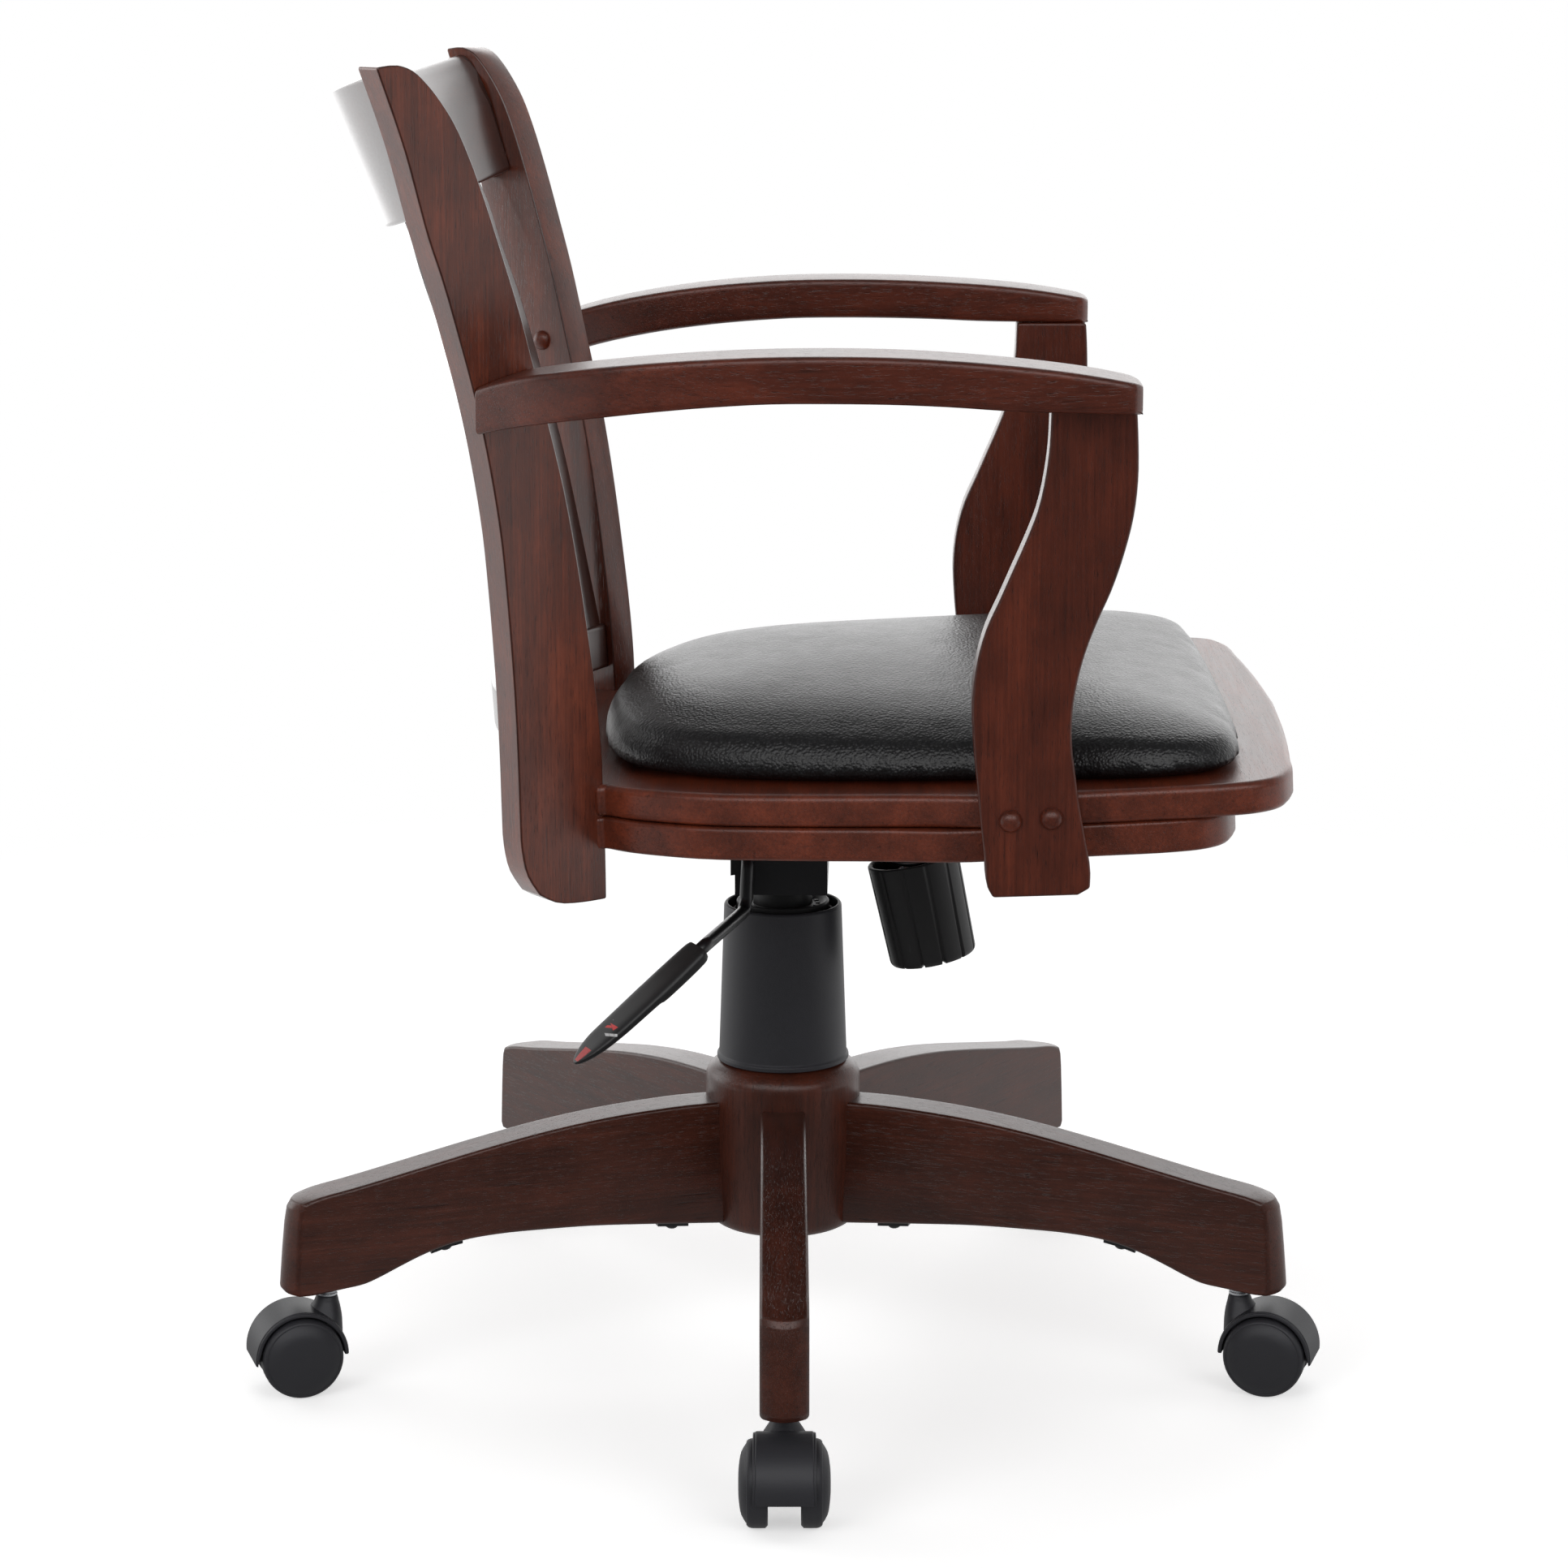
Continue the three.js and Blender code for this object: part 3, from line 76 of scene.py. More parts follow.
class Value:
    """A number, colour or vector on its way through a node tree; numbers join in sums."""

    def __init__(self, works, socket):
        self.works, self.socket = works, socket

    def other(self, name):
        outputs = self.socket.node.outputs
        return Value(self.works, next(s for s in outputs if s.name == name and s.enabled))

    def maths(self, operation, *others, clamp=False):
        inputs = dict(enumerate([self, *others]))
        return self.works.node("ShaderNodeMath", inputs, operation=operation, use_clamp=clamp)

    def __add__(self, other): return self.maths("ADD", other)
    def __radd__(self, other): return self.maths("ADD", other)
    def __sub__(self, other): return self.maths("SUBTRACT", other)
    def __rsub__(self, other): return self.maths("MULTIPLY_ADD", -1.0, other)
    def __mul__(self, other): return self.maths("MULTIPLY", other)
    def __rmul__(self, other): return self.maths("MULTIPLY", other)
    def __truediv__(self, other): return self.maths("DIVIDE", other)
    def __pow__(self, other): return self.maths("POWER", other)

    def between(self, low, high):
        """0 below low, 1 above high, straight in between."""
        return ((self - low) / (high - low)).maths("ADD", 0.0, clamp=True)


class Works:
    """A node tree, for a finish or for the shape of a piece, and the one way to add to it."""

    def __init__(self, tree):
        self.tree = tree

    def node(self, kind, inputs=None, **settings):
        made = self.tree.nodes.new(kind)
        for key, value in settings.items():
            if key == "stops":
                ramp = made.color_ramp.elements
                while len(ramp) < len(value):
                    ramp.new(0.5)
                for stop, (place, colour) in zip(ramp, value):
                    stop.position, stop.color = place, (*colour, 1)
            else:
                setattr(made, key, value)
        for key, value in (inputs or {}).items():
            socket = (made.inputs[key] if isinstance(key, int)
                      else next(s for s in made.inputs if s.name == key and s.enabled))
            for one in value if isinstance(value, list) else [value]:
                if isinstance(one, Value):
                    self.tree.links.new(one.socket, socket)
                else:
                    socket.default_value = one
        outputs = [s for s in made.outputs if s.enabled]
        return Value(self, outputs[0]) if outputs else None

    def colour(self, factor, a, b):
        return self.node("ShaderNodeMix", {"Factor": factor, "A": a, "B": b}, data_type="RGBA")

    def noise(self, place, waves, detail=2.0, roughness=0.5, distortion=0.0, shift=(0, 0, 0)):
        """Noise with so many waves a metre, alike each way or (along, across, through)."""
        scale = waves if isinstance(waves, tuple) else (waves, waves, waves)
        lay = self.node("ShaderNodeMapping", {"Vector": place, "Scale": scale, "Location": shift})
        return self.node("ShaderNodeTexNoise", {
            "Vector": lay, "Scale": 1.0, "Detail": detail, "Roughness": roughness,
            "Distortion": distortion})

    def spot(self):
        return self.node("ShaderNodeTexCoord").other("Object")

    def parts(self, vector):
        return self.node("ShaderNodeSeparateXYZ", {0: vector})

    def vector(self, x=0.0, y=0.0, z=0.0):
        return self.node("ShaderNodeCombineXYZ", {0: x, 1: y, 2: z})

    def bump(self, strength, distance, height):
        return self.node("ShaderNodeBump", {"Strength": strength, "Distance": distance, "Height": height})


def rgb(red, green, blue):
    """Linear colour with alpha, from the 0 to 255 that a picture shows."""
    return (*[((c / 255 + 0.055) / 1.055) ** 2.4 if c > 10 else c / 255 / 12.92
              for c in (red, green, blue)], 1.0)


def finish_works(name):
    """An empty finish and the way to add to it."""
    material = bpy.data.materials.new(name)
    material.use_nodes = True
    material.node_tree.nodes.clear()
    return material, Works(material.node_tree)


def shade(works, **inputs):
    """Ends a finish in a surface; Base_Color stands for Base Color."""
    shader = works.node("ShaderNodeBsdfPrincipled", {
        key.replace("_", " "): value for key, value in inputs.items()})
    works.node("ShaderNodeOutputMaterial", {"Surface": shader})


camera = shown("studio_camera", lens)
camera.matrix_world = Matrix.Translation(eye) @ sight.to_track_quat("-Z", "Y").to_matrix().to_4x4()
bpy.context.scene.camera = camera
bpy.context.scene.view_settings.view_transform = "Standard"

floor_mesh = bpy.data.meshes.new("studio_floor")
floor_mesh.from_pydata([(-30, -30, 0), (30, -30, 0), (30, 30, 0), (-30, 30, 0)], [], [(0, 1, 2, 3)])
floor = shown("studio_floor", floor_mesh)
floor_white, works = finish_works("studio_floor_white")
path = works.node("ShaderNodeLightPath")
seen = path.maths("MAXIMUM", path.other("Is Transmission Ray"))
spot = works.spot()
away = works.node("ShaderNodeVectorMath", {0: spot}, operation="LENGTH").other("Value")
paper = works.node("ShaderNodeBsdfDiffuse", {"Color": (0.93, 0.93, 0.93, 1)})
glow = works.node("ShaderNodeEmission", {"Strength": seen * 0.52})
near = works.node("ShaderNodeAddShader", {0: paper, 1: glow})
far = works.node("ShaderNodeMixShader", {0: seen, 1: paper, 2: works.node("ShaderNodeEmission")})
sheet = works.node("ShaderNodeMixShader", {0: away.between(0.6, 1.6), 1: near, 2: far})
sides = works.parts(spot)
behind = (sides + sides.other("Y").maths("ABSOLUTE") * 0.75).between(0.0, 0.6)
lit = behind.maths("MAXIMUM", (1 - away.between(0.15, 0.5)) * 0.5)
mirrored = works.node("ShaderNodeEmission", {"Strength": lit * 0.85 + 0.1})
works.node("ShaderNodeOutputMaterial", {"Surface": works.node("ShaderNodeMixShader", {
    0: path.other("Is Glossy Ray"), 1: sheet, 2: mirrored})})
floor_mesh.materials.append(floor_white)

studio_air = bpy.data.worlds.new("studio_air")
studio_air.use_nodes = True
studio_air.node_tree.nodes.clear()
works = Works(studio_air.node_tree)
path = works.node("ShaderNodeLightPath")
seen = path.maths("MAXIMUM", path.other("Is Transmission Ray"))
gaze = works.parts(works.node("ShaderNodeTexCoord"))
ahead = gaze.between(-0.35, 0.35) * (1 - gaze.other("Z").between(0.3, 0.8) * 0.8)
softbox = (gaze * -1).between(0.3, 0.6) * gaze.other("Z").between(0.3, 0.5) * (
    1 - gaze.other("Z").between(0.75, 0.9))
plain = works.node("ShaderNodeBackground", {
    "Color": (1, 1, 1, 1), "Strength": 0.48 - gaze.other("Z").between(0.2, 0.8) * 0.3})
white = works.node("ShaderNodeBackground", {"Color": (1, 1, 1, 1), "Strength": 1.0})
mirrored = works.node("ShaderNodeBackground", {
    "Color": (1, 1, 1, 1), "Strength": ahead * 0.9 + softbox * 2.8 + 0.1})
mixed = works.node("ShaderNodeMixShader", {0: path.other("Is Glossy Ray"), 1: plain, 2: mirrored})
mixed = works.node("ShaderNodeMixShader", {0: seen, 1: mixed, 2: white})
works.node("ShaderNodeOutputWorld", {"Surface": mixed})
bpy.context.scene.world = studio_air

for name, place, size, power in [("lamp_overhead", (0.1, 0.0, 2.6), 2.2, 7),
                                 ("lamp_camera_left", (-2.2, 1.7, 1.1), 1.6, 23),
                                 ("lamp_camera_right", (-2.2, -1.7, 1.1), 1.6, 20),
                                 ("lamp_front", (0.3, -2.6, 1.0), 1.6, 9),
                                 ("lamp_rear", (1.05, 2.4, 1.0), 1.6, 15),
                                 ("lamp_backdrop", (3.2, 0.0, 1.15), 3.6, 46)]:
    lamp = bpy.data.lights.new(name, "AREA")
    lamp.shape, lamp.size, lamp.energy = "SQUARE", size, power
    stand = shown(name, lamp)
    aim = Vector((0, 0, 0.4)) - Vector(place)
    stand.matrix_world = Matrix.Translation(place) @ aim.to_track_quat("-Z", "Y").to_matrix().to_4x4()
    stand.visible_glossy = name in ("lamp_backdrop", "lamp_rear")

# Star base: a turned hub and five sawn legs of stained rubberwood, edges rounded over, under satin
# lacquer. The legs butt against the hub and are screwed to a steel star that is let in from below.
tube_low, tube_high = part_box("column_tube")
swivel = Matrix.Translation(((tube_low.x + tube_high.x) / 2, (tube_low.y + tube_high.y) / 2, 0))
leg_count, first_leg = 5, radians(181.43)
leg_reach, leg_height, leg_width, leg_edge, leg_nose = 0.325, 0.162, 0.028, 0.0022, 0.0092
leg_side = [
    (0.13, 0.999), (0.205, 1), (0.264, 0.995), (0.36, 0.981), (0.487, 0.948), (0.614, 0.901),
    (0.741, 0.847), (0.865, 0.795), (0.946, 0.765), (0.974, 0.75), (0.983, 0.722), (1, 0.413),
    (0.99, 0.388), (0.955, 0.388), (0.92, 0.394), (0.884, 0.402), (0.843, 0.414), (0.812, 0.437),
    (0.778, 0.467), (0.726, 0.509), (0.682, 0.535), (0.642, 0.549), (0.589, 0.557), (0.496, 0.557),
    (0.403, 0.552), (0.273, 0.533), (0.13, 0.509)]


def flowing(points, steps=4, corner=28, closed=True):
    """The outline with points added along its curves and its corners kept."""
    line = np.array(points, float)
    count = len(line)

    def way(i, j):
        before, after = line[i] - line[i - 1], line[(i + 1) % count] - line[i]
        chord = (line[j] - line[i]) * (1 if (j - i) % count == 1 else -1)
        a, b = np.linalg.norm(before), np.linalg.norm(after)
        if (not closed and i in (0, count - 1)) or before @ after < a * b * cos(radians(corner)):
            return chord
        mean = before / a * b + after / b * a
        return mean / np.linalg.norm(mean) * min(np.linalg.norm(chord), 2.5 * min(a, b))

    made = []
    for i in range(count if closed else count - 1):
        j = (i + 1) % count
        p, q, start, end = line[i], line[j], way(i, j), way(j, i)
        for t in np.arange(steps) / steps:
            made.append(p * (2 * t**3 - 3 * t**2 + 1) + start * (t**3 - 2 * t**2 + t)
                        + q * (3 * t**2 - 2 * t**3) + end * (t**3 - t**2))
    return made if closed else made + [line[-1]]


def softened(points, radius, corner=28, steps=6):
    """The closed outline with its corners turned into arcs, tighter where the sides are short."""
    line = [Vector(p) for p in points]
    made = []
    for i, p in enumerate(line):
        a, b = line[i - 1] - p, line[(i + 1) % len(line)] - p
        turn = pi - a.angle(b)
        if turn < radians(corner):
            made.append(p)
            continue
        cut = min(radius * math.tan(turn / 2), 0.45 * a.length, 0.45 * b.length)
        centre = p + (a.normalized() + b.normalized()).normalized() * cut / sin(turn / 2)
        arm = p + a.normalized() * cut - centre
        way = 1 if a.x * b.y - a.y * b.x < 0 else -1
        made += [centre + Matrix.Rotation(way * turn * k / steps, 2) @ arm for k in range(steps + 1)]
    return made


def solid_mesh(name, points, faces, pooled=None):
    mesh = bpy.data.meshes.new(name)
    mesh.from_pydata([tuple(p) for p in points], [], faces)
    # Painted shade along rounded rims: an amount for each point, kept as a point attribute.
    if pooled:
        mesh.attributes.new("pooled_stain", "FLOAT", "POINT").data.foreach_set("value", pooled)
    work = bmesh.new()
    work.from_mesh(mesh)
    bmesh.ops.remove_doubles(work, verts=work.verts, dist=1e-5)
    bmesh.ops.dissolve_degenerate(work, edges=work.edges, dist=1e-5)
    bmesh.ops.recalc_face_normals(work, faces=work.faces)
    work.to_mesh(mesh)
    work.free()
    return mesh


def drawn_in(outline, depth):
    """The closed outline moved inwards; points that would fold over join their neighbours."""
    ahead = np.roll(outline, -1, 0) - outline
    ahead /= np.linalg.norm(ahead, axis=1)[:, None]
    before = np.roll(ahead, 1, 0)
    way = np.stack([-ahead[:, 1] - before[:, 1], ahead[:, 0] + before[:, 0]], 1)
    made = outline + way / np.maximum(1 + (ahead * before).sum(1), 0.3)[:, None] * depth
    step = np.roll(outline, -1, 0) - outline
    reach = made[:, None] - outline[None]
    along = np.clip((reach * step[None]).sum(2) / (step**2).sum(1), 0, 1)
    gap = np.linalg.norm(reach - along[..., None] * step[None], axis=2).min(1)
    kept = np.flatnonzero(gap > depth * 0.97 - 1e-9)
    count = len(outline)
    nearest = [min(kept, key=lambda j: min(abs(i - j), count - abs(i - j))) for i in range(count)]
    return made[nearest]


def sawn(name, points, thickness, edge, steps=4, corner=28, rows=0):
    """Board sawn to an outline in its own X and Z, centred on its own Y, its rims rounded over."""
    outline = np.array(flowing(softened(points, edge * 1.2, corner), steps, 50))
    x, z = outline.T
    if (x * np.roll(z, -1) - z * np.roll(x, -1)).sum() < 0:
        outline = outline[::-1]
    half_rings = []
    for k in range(6):
        turn = k / 5 * pi / 2
        half_rings.append((drawn_in(outline, edge * (1 - sin(turn))) if k < 5 else outline,
                           edge * (1 - cos(turn)) - thickness / 2))
    rings = [[(x, y, z) for x, z in ring] for ring, y in half_rings]
    flat = thickness / 2 - edge
    rings += [[(x, (2 * k / (rows + 1) - 1) * flat, z) for x, z in outline] for k in range(1, rows + 1)]
    rings += [[(x, -y, z) for x, z in ring] for ring, y in half_rings[::-1]]
    # Painted shade: a dark line down the middle of each rounded rim, strongest where the rim is tightest.
    rim = [min(1, 0.0015 / edge) ** 3 * sin(pi * k / 5) ** 2 for k in range(6)]
    return skinned(name, rings, pooled=rim + [0] * rows + rim[::-1])


def skinned(name, rings, capped=True, around=True, pooled=None):
    """Skin over rings of equally many points, with an amount of painted rim shade for each ring."""
    count = len(rings[0])
    if pooled:
        pooled = [amount for amount in pooled for _ in range(count)]
    faces = []
    for k in range(len(rings) - 1):
        for i in range(count if around else count - 1):
            a, b = k * count + i, k * count + (i + 1) % count
            faces.append((a, b, b + count, a + count))
    if capped:
        last = (len(rings) - 1) * count
        faces += [list(range(count))[::-1], list(range(last, last + count))]
    return solid_mesh(name, [p for ring in rings for p in ring], faces, pooled)


def settled(mesh, edge=0.0, steps=4):
    """The mesh with any sharp edges rounded over by edge, and its shading even."""
    holder = shown(mesh.name + "_work", mesh)
    if edge:
        rounding = holder.modifiers.new("rounding", "BEVEL")
        rounding.width, rounding.segments, rounding.use_clamp_overlap = edge, steps, False
        rounding.limit_method, rounding.angle_limit = "ANGLE", radians(35)
    evening = holder.modifiers.new("evening", "WEIGHTED_NORMAL")
    evening.keep_sharp = True
    mesh.polygons.foreach_set("use_smooth", [True] * len(mesh.polygons))
    made = frozen(holder)
    made.name = mesh.name
    return made


def fitted(name, mesh, body, material, nodes=(), place=Matrix(), grain=None, shift=0.0):
    """The finished mesh in its place on the chair, riding on a body and standing for its nodes."""
    if grain is None:
        grain = lambda p: p
    lines = mesh.attributes.new("grain", "FLOAT_VECTOR", "POINT")
    values = []
    for vertex in mesh.vertices:
        values += [c + d for c, d in zip(grain(vertex.co), (shift, 0.37 * shift, 0))]
    lines.data.foreach_set("vector", values)
    mesh.transform(swivel @ place)
    if (swivel @ place).determinant() < 0:
        mesh.flip_normals()
    mesh.materials.clear()
    mesh.materials.append(material)
    piece = shown(name, mesh)
    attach(piece, body)
    if nodes:
        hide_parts(*nodes)
    return piece


def stained_wood(name, light, middle, dark, gloss=0.45, rough=0.27, relief=0.4,
                 lacquer=0.0):
    """Rubberwood under stain: long fibres, broad bands, short dark pores, blotches, painted shade along tight
    rims; satin lacquer.
    """
    material, works = finish_works(name)
    lay = works.node("ShaderNodeAttribute", attribute_name="grain").other("Vector")
    bands = works.noise(lay, (2.6, 30, 30), 4.0, 0.6, 1.4)
    fibres = works.noise(lay, (14, 560, 560), 4.0, 0.65)
    blotches = works.noise(lay, (24, 40, 40), 4.0, 0.65)
    pores = works.noise(lay, (130, 1500, 1500), 2.0, 0.55).between(0.6, 0.7)
    streaks = works.noise(lay, (30, 420, 420), 2.0, 0.5, shift=(3, 5, 7)).between(0.62, 0.76)
    tone = (bands * 0.5 + fibres * 0.42 + blotches * 0.5).between(0.44, 0.98)
    stain = works.node("ShaderNodeValToRGB", {"Fac": tone}, stops=[
        (0.0, dark[:3]), (0.5, middle[:3]), (1.0, light[:3])])
    # Painted shade: the stain turns dark along the middle of tight rounded rims.
    pooled = works.node("ShaderNodeAttribute", attribute_name="pooled_stain").other("Fac")
    stain = works.colour((pores * 0.6 + streaks * 0.45).maths("MAXIMUM", pooled * 0.85), stain,
                         tuple(c * 0.35 for c in dark[:3]) + (1,))
    height = works.bump(relief, 0.0003, fibres * 0.4 - pores * 0.8 - streaks * 0.5)
    shade(works, Base_Color=stain, Roughness=rough + fibres * 0.12, Normal=height,
          Specular_IOR_Level=gloss, Coat_Weight=lacquer, Coat_Roughness=0.2)
    return material


red_brown = stained_wood("stained_rubberwood", rgb(104, 44, 25), rgb(76, 31, 18), rgb(47, 20, 13))
leg_brown = stained_wood("darker_stained_rubberwood", rgb(84, 40, 27), rgb(62, 29, 19), rgb(38, 18, 13))
post_brown = stained_wood("rich_stained_rubberwood", rgb(124, 57, 34), rgb(86, 38, 23), rgb(50, 22, 15),
                          gloss=0.5, lacquer=0.6)
board_brown = stained_wood("warm_stained_rubberwood", rgb(122, 54, 32), rgb(89, 39, 24), rgb(54, 25, 17))
dark_brown = stained_wood("dark_stained_rubberwood", rgb(78, 42, 32), rgb(57, 31, 25), rgb(38, 22, 19),
                          gloss=1.0, rough=0.28, relief=0.12, lacquer=1.0)


def lathed(name, profile, steps=72):
    """Turned about the upright axis from (radius, height) points."""
    rings = [[(r * cos(2 * pi * i / steps), r * sin(2 * pi * i / steps), z) for i in range(steps)]
             for r, z in profile]
    return skinned(name, rings, capped=False)


def eased(profile, radius, steps=4, closed=True):
    """A (radius, height) profile with its corners rounded."""
    line = [Vector(p) for p in profile]
    made = []
    for i, p in enumerate(line):
        if not closed and i in (0, len(line) - 1):
            made.append(p)
            continue
        a, b = line[i - 1] - p, line[(i + 1) % len(line)] - p
        cut = min(radius, 0.45 * a.length, 0.45 * b.length)
        if a.length < 1e-9 or b.length < 1e-9 or abs(a.angle(b) - pi) < 0.2:
            made.append(p)
            continue
        start, end = p + a.normalized() * cut, p + b.normalized() * cut
        for k in range(steps + 1):
            t = k / steps
            made.append(start * (1 - t) ** 2 + p * 2 * t * (1 - t) + end * t**2)
    return made + [made[0]] if closed else made


hub_low, hub_high = 0.0782, 0.185
hub = settled(lathed("hub_shell", eased([
    (0.0254, hub_low), (0.0457, hub_low), (0.0484, 0.13), (0.0488, 0.162), (0.0488, hub_high - 0.0075),
    (0.0408, hub_high), (0.0254, hub_high)], 0.007)))
fitted("turned_hub", hub, "base", leg_brown, ["hub_shell"],
       grain=lambda p: (p.z, p.x, p.y), shift=3.1)


def leg_turn(k):
    return Matrix.Rotation(first_leg + 2 * pi * k / leg_count, 4, "Z")


for k in range(leg_count):
    outline = [(r * leg_reach, z * leg_height) for r, z in leg_side]
    leg = sawn(f"leg_{k + 1}", outline, leg_width, leg_edge, rows=9)
    for vertex in leg.vertices:
        r, y, z = vertex.co
        nose = max(0, (r / leg_reach - 0.9) / 0.1) ** 1.5
        vertex.co.x -= leg_nose * nose * (2 * y / leg_width) ** 2
    leg = settled(leg)
    fitted(f"sawn_leg_{k + 1}", leg, "base", leg_brown, [f"leg_{k + 1}"], place=leg_turn(k), shift=1.7 * k)

# Steel star under the hub: black-painted, with tabs that carry the screws of the legs.
# Two tabs lie under each leg, and two dark pan-head screws with a cross recess hold each tab.


def speckled(works, tint, rough, gloss, waves, detail=1.0, spread=0.12, relief=0.3, depth=0.00015):
    """Ends a moulded or painted finish: fine grit in its roughness and its relief."""
    grit = works.noise(works.spot(), waves, detail)
    shade(works, Base_Color=tint, Roughness=rough + grit * spread, Specular_IOR_Level=gloss,
          Normal=works.bump(relief, depth, grit))


steel_paint, works = finish_works("black_powder_coat")
tint = works.colour(works.noise(works.spot(), 25, 3.0), rgb(15, 15, 17), rgb(23, 23, 26))
speckled(works, tint, 0.26, 0.5, 900, 2.0, 0.15, 0.25, 0.0002)


def repaint(names, material):
    for name in names:
        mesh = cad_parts[name].data
        mesh.materials.clear()
        mesh.materials.append(material)


repaint(["base_spider", "column_tube"], steel_paint)


def shape_tree(name, **sizes):
    """An empty shape tree with named inputs for its sizes."""
    tree = bpy.data.node_groups.new(name, "GeometryNodeTree")
    for side in ("INPUT", "OUTPUT"):
        tree.interface.new_socket("Geometry", in_out=side, socket_type="NodeSocketGeometry")
    for size, value in sizes.items():
        kind = "NodeSocketInt" if isinstance(value, int) else "NodeSocketFloat"
        tree.interface.new_socket(size, in_out="INPUT", socket_type=kind).default_value = value
    works = Works(tree)
    return works, works.node("NodeGroupInput")


def finish_tree(works, shape, material):
    shape = works.node("GeometryNodeRealizeInstances", {"Geometry": shape})
    shape = works.node("GeometryNodeSetMaterial", {"Geometry": shape, "Material": material})
    works.node("NodeGroupOutput", {"Geometry": shape})
    return works.tree


def grown(name, tree, points, edges=(), facing=None, **sizes):
    """The plain mesh that a shape tree makes from points and edges, at given sizes."""
    seed = bpy.data.meshes.new(name)
    seed.from_pydata([tuple(p) for p in points], list(edges), [])
    if facing:
        way = seed.attributes.new("facing", "FLOAT_VECTOR", "POINT")
        way.data.foreach_set("vector", [c for v in facing for c in v])
    holder = shown(name, seed)
    growth = holder.modifiers.new("growth", "NODES")
    growth.node_group = tree
    for socket in tree.interface.items_tree:
        if socket.in_out == "INPUT" and socket.name in sizes:
            growth[socket.identifier] = sizes[socket.name]
    made = frozen(holder)
    made.name = name
    return made


def placed_heads(works, sizes, head):
    """The head on each point, turned to its facing."""
    facing = works.node("GeometryNodeInputNamedAttribute", {"Name": "facing"}, data_type="FLOAT_VECTOR")
    turned = works.node("FunctionNodeAlignRotationToVector", {"Vector": facing}, axis="Z")
    return works.node("GeometryNodeInstanceOnPoints", {
        "Points": sizes, "Instance": head, "Rotation": turned})


def wire(works, route, radius, sides, material):
    """Ends a shape tree in round wire along a route, closed at both ends."""
    section = works.node("GeometryNodeCurvePrimitiveCircle", {"Resolution": sides, "Radius": radius})
    made = works.node("GeometryNodeCurveToMesh", {
        "Curve": route, "Profile Curve": section, "Fill Caps": True})
    return finish_tree(works, works.node("GeometryNodeSetShadeSmooth", {"Geometry": made}), material)


rim_depth = 0.0004


def domed(works, radius, height, segments):
    """A domed head with a flat underside a little below its rim."""
    ball = works.node("GeometryNodeMeshUVSphere", {"Segments": segments, "Rings": 14, "Radius": 1.0})
    shape = works.vector(radius, radius, height)
    ball = works.node("GeometryNodeTransform", {"Geometry": ball, "Scale": shape})
    place = works.parts(works.node("GeometryNodeInputPosition"))
    low = works.vector(place, place.other("Y"), place.other("Z").maths("MAXIMUM", -rim_depth))
    ball = works.node("GeometryNodeSetPosition", {"Geometry": ball, "Position": low})
    return works.node("GeometryNodeSetShadeSmooth", {"Geometry": ball})


works, sizes = shape_tree("pan_head_screws", Radius=0.004, Height=0.0024, Slot=0.0011)
head = domed(works, sizes.other("Radius"), sizes.other("Height"), 20)
slot_size = works.vector(sizes.other("Radius") * 1.1, sizes.other("Slot"), sizes.other("Height"))
slot = works.node("GeometryNodeMeshCube", {"Size": slot_size})
lift = works.vector(z=sizes.other("Height"))
along = works.node("GeometryNodeTransform", {"Geometry": slot, "Translation": lift})
across = works.node("GeometryNodeTransform", {
    "Geometry": slot, "Translation": lift, "Rotation": (0, 0, pi / 2)})
for cut_slot in (along, across):
    head = works.node("GeometryNodeMeshBoolean", {"Mesh 1": head, "Mesh 2": cut_slot},
                      operation="DIFFERENCE", solver="MANIFOLD")
pan_heads = finish_tree(works, placed_heads(works, sizes, head), steel_paint)
tab_places, tab_facing = [], []
for k in range(leg_count):
    turn = leg_turn(k).to_3x3()
    for radius, low, tilt in ((0.076, 0.0827, 0.07), (0.222, 0.0841, -0.23)):
        for across in (-0.0062, 0.0062):
            tab_places.append(turn @ Vector((radius, across, low)))
            tab_facing.append(turn @ Vector((sin(tilt), 0, -cos(tilt))))
heads = grown("pan_heads", pan_heads, tab_places, facing=tab_facing)
fitted("leg_screws", heads, "base", steel_paint)

# Casters: moulded black nylon hoods over twin wheels with domed sides, on bright steel stems that
# push up into the feet. A dark collar sits on each stem.
black_plastic, works = finish_works("moulded_black_plastic")
tint = works.colour(works.noise(works.spot(), 18, 3.0), rgb(38, 38, 41), rgb(45, 45, 49))
speckled(works, tint, 0.4, 0.32, 1500)

bright_steel, works = finish_works("bright_steel")
brush = works.noise(works.spot(), (60, 60, 2400), 2.0)
shade(works, Base_Color=rgb(196, 198, 202), Metallic=1.0, Roughness=0.16 + brush * 0.16)

caster_radius, caster_trail, wheel_radius, wheel_width, wheel_gap = 0.296, 0.0192, 0.025, 0.0167, 0.0187
hood_radius, hood_width, hood_wall, web_half = 0.0289, 0.0356, 0.0027, 0.00875


def merged(name, meshes):
    work = bmesh.new()
    for mesh in meshes:
        work.from_mesh(mesh)
    whole = bpy.data.meshes.new(name)
    work.to_mesh(whole)
    work.free()
    whole.polygons.foreach_set("use_smooth", [True] * len(whole.polygons))
    return whole


def moved(mesh, matrix):
    mesh.transform(matrix)
    if matrix.determinant() < 0:
        mesh.flip_normals()
    return mesh


hood_from, hood_to, lip_half = radians(-5), radians(180), 0.0009


def hood_ring(a, low, high, middle, half_width, corner, steps):
    """Section of a band over the wheels at an angle round the axle, seen along the rim."""
    section = eased([(low, middle - half_width), (high, middle - half_width),
                     (high, middle + half_width), (low, middle + half_width)], corner, steps)[:-1]
    return [(r * cos(a), y, r * sin(a)) for r, y in section]


